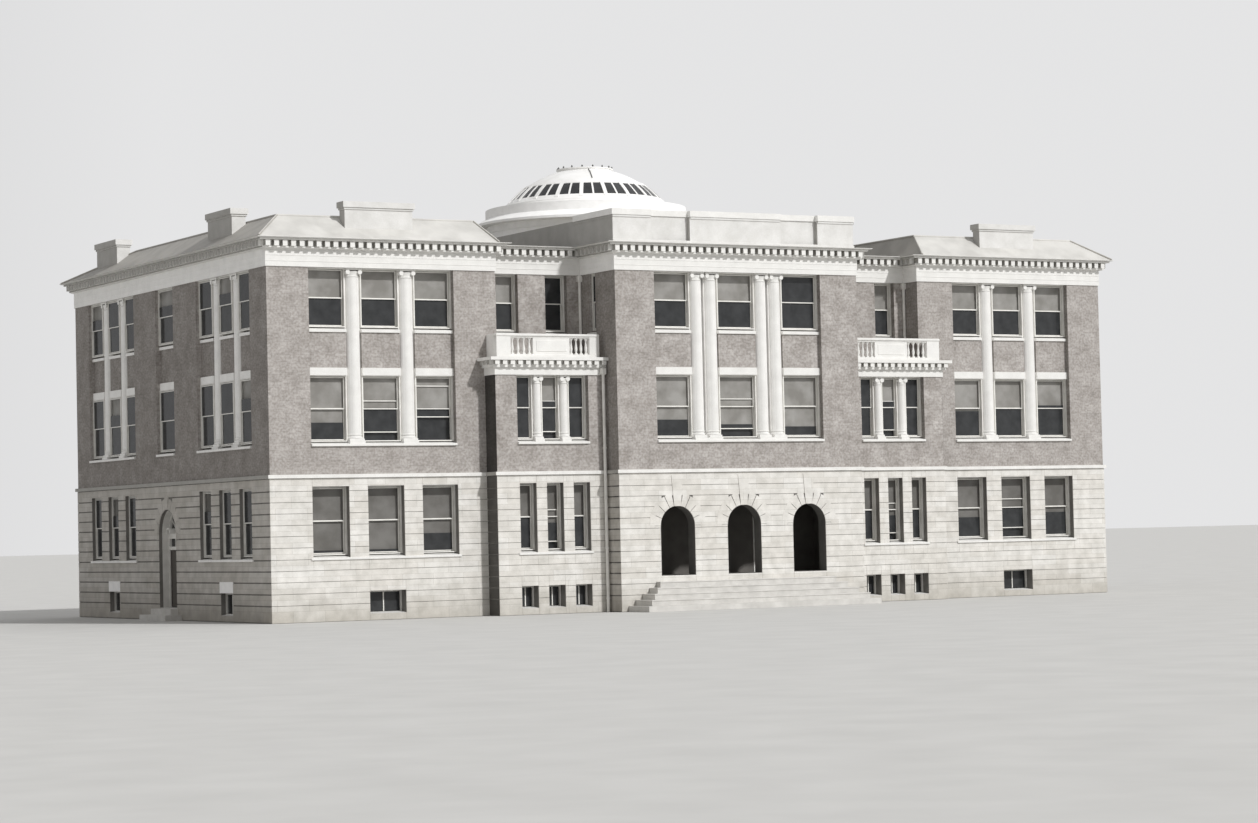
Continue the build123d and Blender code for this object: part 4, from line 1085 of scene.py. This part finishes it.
for name, node, jobs in (
    ("giant_turned_columns", "giant_columns", [
        (line, u0, u1, third_high)
        for line, row in ((wing_line, wing_dividers), (side_line, front_side_dividers),
                          (side_line, rear_side_dividers)) for u0, u1 in row]),
    ("pavilion_columns", "paired_columns", [
        (pavilion_line, start, start + pavilion_shaft, third_high)
        for u0, u1 in pavilion_dividers for start in (u0, u1 - pavilion_shaft)]),
    ("block_turned_columns", "block_columns", [
        (block_line, u0, u1, second_high) for u0, u1 in block_dividers]),
):
    column_bm = bmesh.new()
    for job in jobs:
        column(column_bm, *job)
    if name != "pavilion_columns":
        mirror_over(column_bm)
    piece(column_bm, name, trim_stone, stands_for=(node,))

# %% [markdown]
# A balustrade closes each balcony: end piers, a solid panel in the middle and turned
# balusters between them, under one moulded rail. A baluster is a vase on a square foot, so
# half of its outline is spun, in few steps, as there are many of them.

# %% Balustrades
balcony_floor, rail_high, rail_back, rail_start, rail_end = 9.66, 10.55, 0.24, -10.06, -5.68
left_pier_end, right_pier_start, panel_start, panel_end = -9.46, -6.1, -8.505, -6.945
baluster_foot, baluster_head, square_half, square_high = 9.78, 10.4, 0.055, 0.05
under_rail, pier_low, pier_high = baluster_head + 0.05, baluster_foot - 0.01, baluster_head + 0.06
balusters_a_side, field_margin = 4, 0.14


def baluster(bm, x, y):
    """Add one vase baluster between its square foot and head."""
    low, high = baluster_foot, baluster_head
    turned(bm, x, y, [
        (0.0, low + 0.05), (0.045, low + 0.05), (0.035, low + 0.09), (0.058, low + 0.2),
        (0.05, low + 0.28), (0.028, low + 0.42), (0.026, low + 0.5), (0.045, low + 0.53),
        (0.045, high - 0.05), (0.0, high - 0.05),
    ], 10)
    for z0, z1 in ((low, low + square_high), (high - square_high, high)):
        block(bm, x - square_half, x + square_half, y - square_half, y + square_half, z0, z1)


rail_bm = bmesh.new()
for part in (
    # The plinth, the bed and the rail, the two end piers, the panel and its raised field
    (rail_start, rail_end, 0.0, rail_back, balcony_floor, baluster_foot, 0.01),
    (rail_start, rail_end, 0.02, rail_back - 0.02, baluster_head, under_rail),
    (rail_start - 0.02, rail_end, -0.03, rail_back + 0.02, under_rail, rail_high, 0.02),
    (rail_start, left_pier_end, 0.0, rail_back, pier_low, pier_high, 0.008),
    (right_pier_start, rail_end, 0.0, rail_back, pier_low, pier_high, 0.008),
    (panel_start, panel_end, 0.03, rail_back - 0.03, pier_low, pier_high),
    (panel_start + field_margin, panel_end - field_margin, 0.012, 0.04, baluster_foot + 0.1,
     baluster_head - 0.1, 0.01),
):
    wall_block(rail_bm, block_line, *part)
wall_block(rail_bm, block_return, -0.61, -bedded, 0.08, 0.32, balcony_floor, rail_high, 0.01)
for start, end in ((left_pier_end, panel_start), (panel_end, right_pier_start)):
    pitch = (end - start) / balusters_a_side
    for i in range(balusters_a_side):
        baluster(rail_bm, start + (i + 0.5) * pitch, block_y + rail_back / 2)
mirror_over(rail_bm)
piece(rail_bm, "balustrades_turned", trim_stone, stands_for=("balustrades",))

# %% [markdown]
# The doors are framed and panelled: stiles and rails stand 12 mm in front of the leaf, and
# each panel has a raised field. Brass knobs sit at the meeting edge. These parts are fixed
# to their leaf and swing with it. On the right side the same parts are fixed.

# %% Side door leaves
leaf_rails = (0.5, 1.2, 1.95, 2.71)
leaf_face, stile_proud, field_proud, leaf_tuck = 0.45, 0.012, 0.009, 0.0005
stile_face, field_inset, field_edge, knob_inset, knob_height = 0.08, 0.14, 0.006, 0.045, 1.55
# Start, end and knob of the front and the rear leaf, which meet in the middle of the side
leaf_edge, leaf_meeting = 9.503, 10.351
leaves = ((leaf_edge, leaf_meeting, leaf_meeting - knob_inset),
          (depth - leaf_meeting, depth - leaf_edge, depth - leaf_meeting + knob_inset))


def leaf_panels(bm, u0, u1):
    """Add the stiles, rails and raised fields of one leaf."""
    for low, high in zip(leaf_rails, leaf_rails[1:]):
        ring_frame(bm, side_line, u0, u1, low, high, leaf_face - stile_proud,
                   leaf_face - leaf_tuck, stile_face)
        wall_block(bm, side_line, u0 + field_inset, u1 - field_inset, leaf_face - field_proud,
                   leaf_face - leaf_tuck, low + field_inset, high - field_inset, field_edge)


def knob(bm, u):
    """Add a turned knob on its rose, square to the leaf."""
    before = set(bm.verts)
    turned(bm, 0.0, 0.0, [(0.0, 0.0), (0.03, 0.0), (0.03, 0.006), (0.01, 0.012), (0.01, 0.03),
                          (0.027, 0.04), (0.027, 0.055), (0.0, 0.065)], 12)
    made = [v for v in bm.verts if v not in before]
    bmesh.ops.rotate(bm, verts=made, cent=(0, 0, 0), matrix=Matrix.Rotation(-math.pi / 2, 3, "Y"))
    bmesh.ops.translate(bm, verts=made,
                        vec=place_on(side_line, u, leaf_face - stile_proud, knob_height))


for body, (u0, u1, knob_at) in zip(("front_leaf", "rear_leaf"), leaves):
    leaf_bm, knob_bm = bmesh.new(), bmesh.new()
    leaf_panels(leaf_bm, u0, u1)
    knob(knob_bm, knob_at)
    piece(leaf_bm, body + "_panels", door_oak, body=body)
    piece(knob_bm, body + "_knob", worn_brass, body=body)

right_bm, right_knob_bm = bmesh.new(), bmesh.new()
for u0, u1, knob_at in leaves:
    leaf_panels(right_bm, u0, u1)
    knob(right_knob_bm, knob_at)
for made, name, finish, slot in (
    (right_bm, "right_leaf_panels", door_oak, "door_wood"),
    (right_knob_bm, "right_leaf_knobs", worn_brass, "pipe_metal"),
):
    flip(made)
    piece(made, name, finish)

# %% [markdown]
# Above the side doors a transom light has upright bars, and the fan over it has bars that
# point to the centre of the arch, with a small half ring at their foot.

# %% Fanlight bars
fan_low, fan_high, fan_radius, fan_hub, hub_inner, hub_outer = 2.81, 3.31, 0.88, 0.22, 0.2, 0.23
bar_half, bar_front, bar_back, bar_pitch = 0.014, 0.42, 0.46, 0.29
fan_bm = bmesh.new()
for u in (door_y - bar_pitch, door_y, door_y + bar_pitch):
    wall_block(fan_bm, side_line, u - bar_half, u + bar_half, bar_front, bar_back,
               fan_low, fan_high)
for angle in (-50, -17, 17, 50):
    made = wall_block(fan_bm, side_line, door_y - bar_half, door_y + bar_half, bar_front,
                      bar_back, door_spring + fan_hub, door_spring + fan_radius)
    bmesh.ops.rotate(fan_bm, verts=made, cent=(0, door_y, door_spring),
                     matrix=Matrix.Rotation(math.radians(angle), 3, "X"))
wedge(fan_bm, side_line, door_y, door_spring, hub_inner, hub_outer, 0.0, math.pi, bar_front)
mirror_over(fan_bm)
piece(fan_bm, "fanlight_bars", oil_paint)

# %% [markdown]
# The three doors in the porch are pairs of panelled leaves under a transom, within a
# casing. Only their lower parts catch light.

# %% Porch doors
porch_wall, porch_door_width = ("x", 1.0, 1), 1.5
porch_head, porch_transom, porch_light, lock_rail = 4.22, 3.55, 3.65, (2.2, 2.3)
casing_face, leaf_gap, porch_stile, light_stile = 0.12, 0.003, 0.11, 0.07
door_depths, transom_depths = (0.095, 0.1195), (0.06, 0.119)
porch_bm, casing_bm = bmesh.new(), bmesh.new()
for u0, u1 in spans(0.0, porch_pitch, porch_door_width):
    middle = (u0 + u1) / 2
    ring_frame(casing_bm, porch_wall, u0 - casing_face, u1 + casing_face, porch_floor,
               porch_head + casing_face, -0.03, -bedded, casing_face)
    wall_block(casing_bm, porch_wall, u0, u1, *transom_depths, porch_transom, porch_light)
    for a, b in ((u0, middle - leaf_gap), (middle + leaf_gap, u1)):
        for low, high in ((porch_floor + 0.01, lock_rail[1]), (lock_rail[0], porch_transom)):
            ring_frame(porch_bm, porch_wall, a, b, low, high, *door_depths, porch_stile)
    ring_frame(porch_bm, porch_wall, u0, u1, porch_light, porch_head, *door_depths, light_stile)
piece(porch_bm, "porch_door_panels", door_oak)
piece(casing_bm, "porch_door_casings", oil_paint)

# %% [markdown]
# The dome is sheet metal over ribs. Between the roof lights run raised ribs, every second
# one wider, so that the lights read in pairs. A curb rings them inside and outside. The
# crown is a turned ring with a row of small finials, and one thin rod runs down from it.
# A rib is a short section spun about the centre of the dome's curve, then repeated round.

# %% Dome
dome_axis_y, dome_curve, dome_curve_z = 10.4, 4.345, 14.045
light_count, ring_steps, shell_tuck, curb_proud = 40, 64, 0.03, 0.05
# Half width, inner and outer radius, and rise of the wide ribs, the narrow ribs and the rod
wide_rib, narrow_rib = (0.078, 2.62, 3.3, 0.05), (0.035, 2.62, 3.3, 0.035)
rod_rib, rod_azimuth = (0.016, 1.2, 2.3, 0.035), math.radians(-111)
drum_inner, drum_face = 4.2, 4.23
glazing_radii, glazing_top, glazing_foot = (2.64, 2.95, 3.26), 0.022, 0.005
finial_count, finial_radius = 16, 1.15


def shell_height(r):
    """Height of the dome's outer curve at a distance from its axis."""
    return dome_curve_z + math.sqrt(dome_curve ** 2 - r ** 2)


def rib(bm, azimuth, half, inner, outer, rise, repeats):
    """Add a curved rib from an inner to an outer radius, repeated evenly round the dome."""
    before = set(bm.verts)
    low, high = dome_curve - shell_tuck, dome_curve + rise
    start, end = math.asin(inner / dome_curve), math.asin(outer / dome_curve)
    sweep(bm, [(r * math.sin(start), dome_axis_y + w, dome_curve_z + r * math.cos(start))
               for r, w in ((low, -half), (high, -half), (high, half), (low, half))],
          (0, dome_axis_y, dome_curve_z), (0, 1, 0), end - start, 4)
    made = [v for v in bm.verts if v not in before]
    bmesh.ops.rotate(bm, verts=made, cent=(0, dome_axis_y, 0),
                     matrix=Matrix.Rotation(azimuth, 3, "Z"))
    if repeats > 1:
        geom = made + list({e for v in made for e in v.link_edges})
        geom += list({f for v in made for f in v.link_faces})
        bmesh.ops.spin(bm, geom=geom, cent=(0, dome_axis_y, 0), axis=(0, 0, 1),
                       angle=math.tau * (repeats - 1) / repeats, steps=repeats - 1,
                       use_duplicate=True)


def turned_ring(bm, outline):
    """Spin a closed outline of radii and heights about the dome's axis."""
    turned(bm, 0.0, dome_axis_y, outline, ring_steps, True)


dome_bm, glazing_bm, rod_bm, crown_bm = (bmesh.new() for _ in range(4))
step = math.tau / light_count
rib(dome_bm, step / 2, *wide_rib, light_count // 2)
rib(dome_bm, step * 1.5, *narrow_rib, light_count // 2)
for inner, outer in ((2.52, 2.66), (3.24, 3.4)):
    turned_ring(dome_bm, [
        (inner, shell_height(inner) - shell_tuck), (inner, shell_height(inner) + curb_proud),
        (outer, shell_height(outer) + curb_proud), (outer, shell_height(outer) - shell_tuck),
    ])
for low, rise in ((15.32, 0.05), (15.6, 0.04)):
    turned_ring(dome_bm, [(drum_inner, low), (drum_face + rise, low + 0.01),
                          (drum_face + rise, low + 0.05), (drum_inner, low + 0.07)])
piece(dome_bm, "dome_ribs_and_curbs", dome_sheet)

# The lights themselves: one ring of glass laid on the shell, which the ribs part into panes
turned_ring(glazing_bm, [(r, shell_height(r) + glazing_top) for r in glazing_radii]
            + [(r, shell_height(r) + glazing_foot) for r in reversed(glazing_radii)])
piece(glazing_bm, "dome_light_glazing", window_glass)

turned_ring(crown_bm, [(1.1, 18.12), (1.16, 18.12), (1.16, 18.29), (1.2, 18.3), (1.2, 18.34),
                       (1.1, 18.34)])
rib(rod_bm, rod_azimuth, *rod_rib, 1)
for i in range(finial_count):
    angle = math.tau * (i + 0.5) / finial_count
    turned(rod_bm, finial_radius * math.cos(angle),
           dome_axis_y + finial_radius * math.sin(angle),
           [(0.0, 18.335), (0.045, 18.335), (0.025, 18.36), (0.045, 18.39), (0.016, 18.42),
            (0.0, 18.45)], 8)
piece(crown_bm, "dome_crown_moulded", dome_sheet, stands_for=("dome_crown",))
piece(rod_bm, "dome_finials_and_rod", cast_iron)

# %% [markdown]
# Iron straps hold the downpipes to the wall, and a hopper catches the gutter's outlet.

# %% Pipe straps
strap_first, strap_pitch, strap_inner, strap_outer, strap_high = 0.5, 1.9, 0.055, 0.078, 0.05
hopper_half, hopper_back, hopper_low, hopper_top, hopper_edge = 0.1, 0.09, 0.26, 0.02, 0.02
pipe_bm = bmesh.new()
for x, y, low, high in ((-5.53, 0.89, balcony_floor, third_high),
                        (9.58, 0.89, balcony_floor, third_high),
                        (-5.63, -1.01, 0.0, block_top)):
    for i in range(int((high - low) / strap_pitch)):
        z = low + strap_first + strap_pitch * i
        turned(pipe_bm, x, y, [(strap_inner, z), (strap_outer, z), (strap_outer, z + strap_high),
                               (strap_inner, z + strap_high)], 14)
    block(pipe_bm, x - hopper_half, x + hopper_half, y - hopper_half, y + hopper_back,
          high - hopper_low, high - hopper_top, hopper_edge)
piece(pipe_bm, "pipe_straps_and_hoppers", oil_paint)

# %% [markdown]
# Each tread of the front steps ends in a rounded nosing that throws a thin shade line. The
# lowest step stays plain, as worn.

# %% Step nosings
riser, tread, side_tread, top_half = 0.22, 0.32, 0.31, 3.97
nosing_out, nosing_in, nosing_high, nosing_edge = 0.018, 0.03, 0.05, 0.01
nosing_bm = bmesh.new()
for i in range(1, 5):
    half, top = top_half + side_tread * (i - 1), porch_floor - riser * i
    front = pavilion_y - tread * i
    block(nosing_bm, -half - nosing_out, half + nosing_out, front - nosing_out,
          front + nosing_in, top - nosing_high, top + bedded, nosing_edge)
    for side in (-1, 1):
        x0, x1 = sorted((side * (half - nosing_in), side * (half + nosing_out)))
        block(nosing_bm, x0, x1, front, pavilion_y - 0.01, top - nosing_high, top + bedded,
              nosing_edge)
piece(nosing_bm, "step_nosings", step_stone)

# %% [markdown]
# The attic keeps rain off with a coping. A thin fillet below it draws a dark line, and
# plain mouldings run under the caps of the stacks. All are short runs of one small
# section, so they are blocks with softened edges.

# %% Attic fillet and stack mouldings
attic_face, attic_side, attic_back = -1.7, 5.45, 1.38
# How far each moulding stands out, with its heights
fillet, attic_foot, stack_neck = (0.03, 14.98, 15.06), (0.04, 14.0, 14.14), (0.04, 15.12, 15.2)
attic_edge, neck_edge, front_stack_half, side_stack_half = 0.01, 0.012, 1.375, 1.2
break_start, break_end = 2.04, 3.79
attic_line = ("x", attic_face, 1)
attic_bm, stack_bm = bmesh.new(), bmesh.new()


def attic_run(line, start, end, moulded):
    """Add one run of a moulding of the attic."""
    out, low, high = moulded
    wall_block(attic_bm, line, start, end, -out, bedded, low, high, attic_edge)


for u0, u1 in ((-attic_side - fillet[0], -break_end), (-break_start, break_start),
               (break_end, attic_side + fillet[0])):
    attic_run(attic_line, u0, u1, fillet)
for moulded in (fillet, attic_foot):
    for line in (("y", -attic_side, 1), ("y", attic_side, -1)):
        attic_run(line, attic_face - moulded[0], attic_back, moulded)
attic_run(attic_line, -attic_side - attic_foot[0], attic_side + attic_foot[0], attic_foot)
piece(attic_bm, "attic_mouldings", lime_render)

stack_plans = [(x - front_stack_half, x + front_stack_half, 0.15, 0.6)
               for x in (wing_middle, -wing_middle)]
stack_plans += [(-18.76, -18.2, y - side_stack_half, y + side_stack_half) for y in (4.75, 17.15)]
out, low, high = stack_neck
for x0, x1, y0, y1 in stack_plans:
    block(stack_bm, x0 - out, x1 + out, y0 - out, y1 + out, low, high, neck_edge)
piece(stack_bm, "stack_mouldings", lime_render)

# %% [markdown]
# Folded sheet roofs are closed by rolls along their hips and ridges. A roll is a thin rod
# laid from corner to corner: a cylinder, turned to the line between two points.

# %% Roof rolls
roll_radius, eave_z, ridge_z = 0.045, 14.02, 14.9
eaves = [(-19.35, -0.44), (-9.64, -0.44), (-9.64, 21.16), (-19.35, 21.16)]
ridges = [(-18.11, 0.8), (-10.1, 0.8), (-10.1, 15.4), (-18.11, 15.4)]
roof_bm = bmesh.new()
for low, high, beyond in zip(eaves, ridges, ridges[1:] + ridges[:1]):
    for start, end in (((*low, eave_z), (*high, ridge_z)), ((*high, ridge_z), (*beyond, ridge_z))):
        start, end = Vector(start), Vector(end)
        run = end - start
        round_bar(roof_bm, roll_radius, run.length, 10,
                  run.to_track_quat("Z", "Y").to_matrix(), (start + end) / 2)
mirror_over(roof_bm)
piece(roof_bm, "roof_rolls", roof_sheet)

# %% [markdown]
# Last, the stage: one wide sheet under the building, of matt paper with a grain too fine to
# notice.

# %% Stage and finish
sheet_half, sheet_below = 900.0, 0.002
pale_paper, tree, shader, place = new_finish("pale_matt_paper", 0.9)
fibres = add(tree, "ShaderNodeTexNoise", {"Scale": 0.6, "Detail": 3.0}, {"Vector": place})
tone = add(tree, "ShaderNodeValToRGB", {"stops": ((0.3, "#bdbcb9"), (0.7, "#c4c3c0"))},
           {"Fac": fibres.outputs["Fac"]}).outputs["Color"]
tree.links.new(tone, shader.inputs["Base Color"])
sheet_bm = bmesh.new()
bmesh.ops.create_grid(sheet_bm, x_segments=1, y_segments=1, size=sheet_half)
bmesh.ops.translate(sheet_bm, verts=sheet_bm.verts, vec=(0, 0, -sheet_below))
sheet_mesh = bpy.data.meshes.new("pale_sheet")
sheet_bm.to_mesh(sheet_mesh)
sheet_bm.free()
sheet_mesh.materials.append(pale_paper)
pale_sheet = bpy.data.objects.new("pale_sheet", sheet_mesh)
bpy.context.collection.objects.link(pale_sheet)
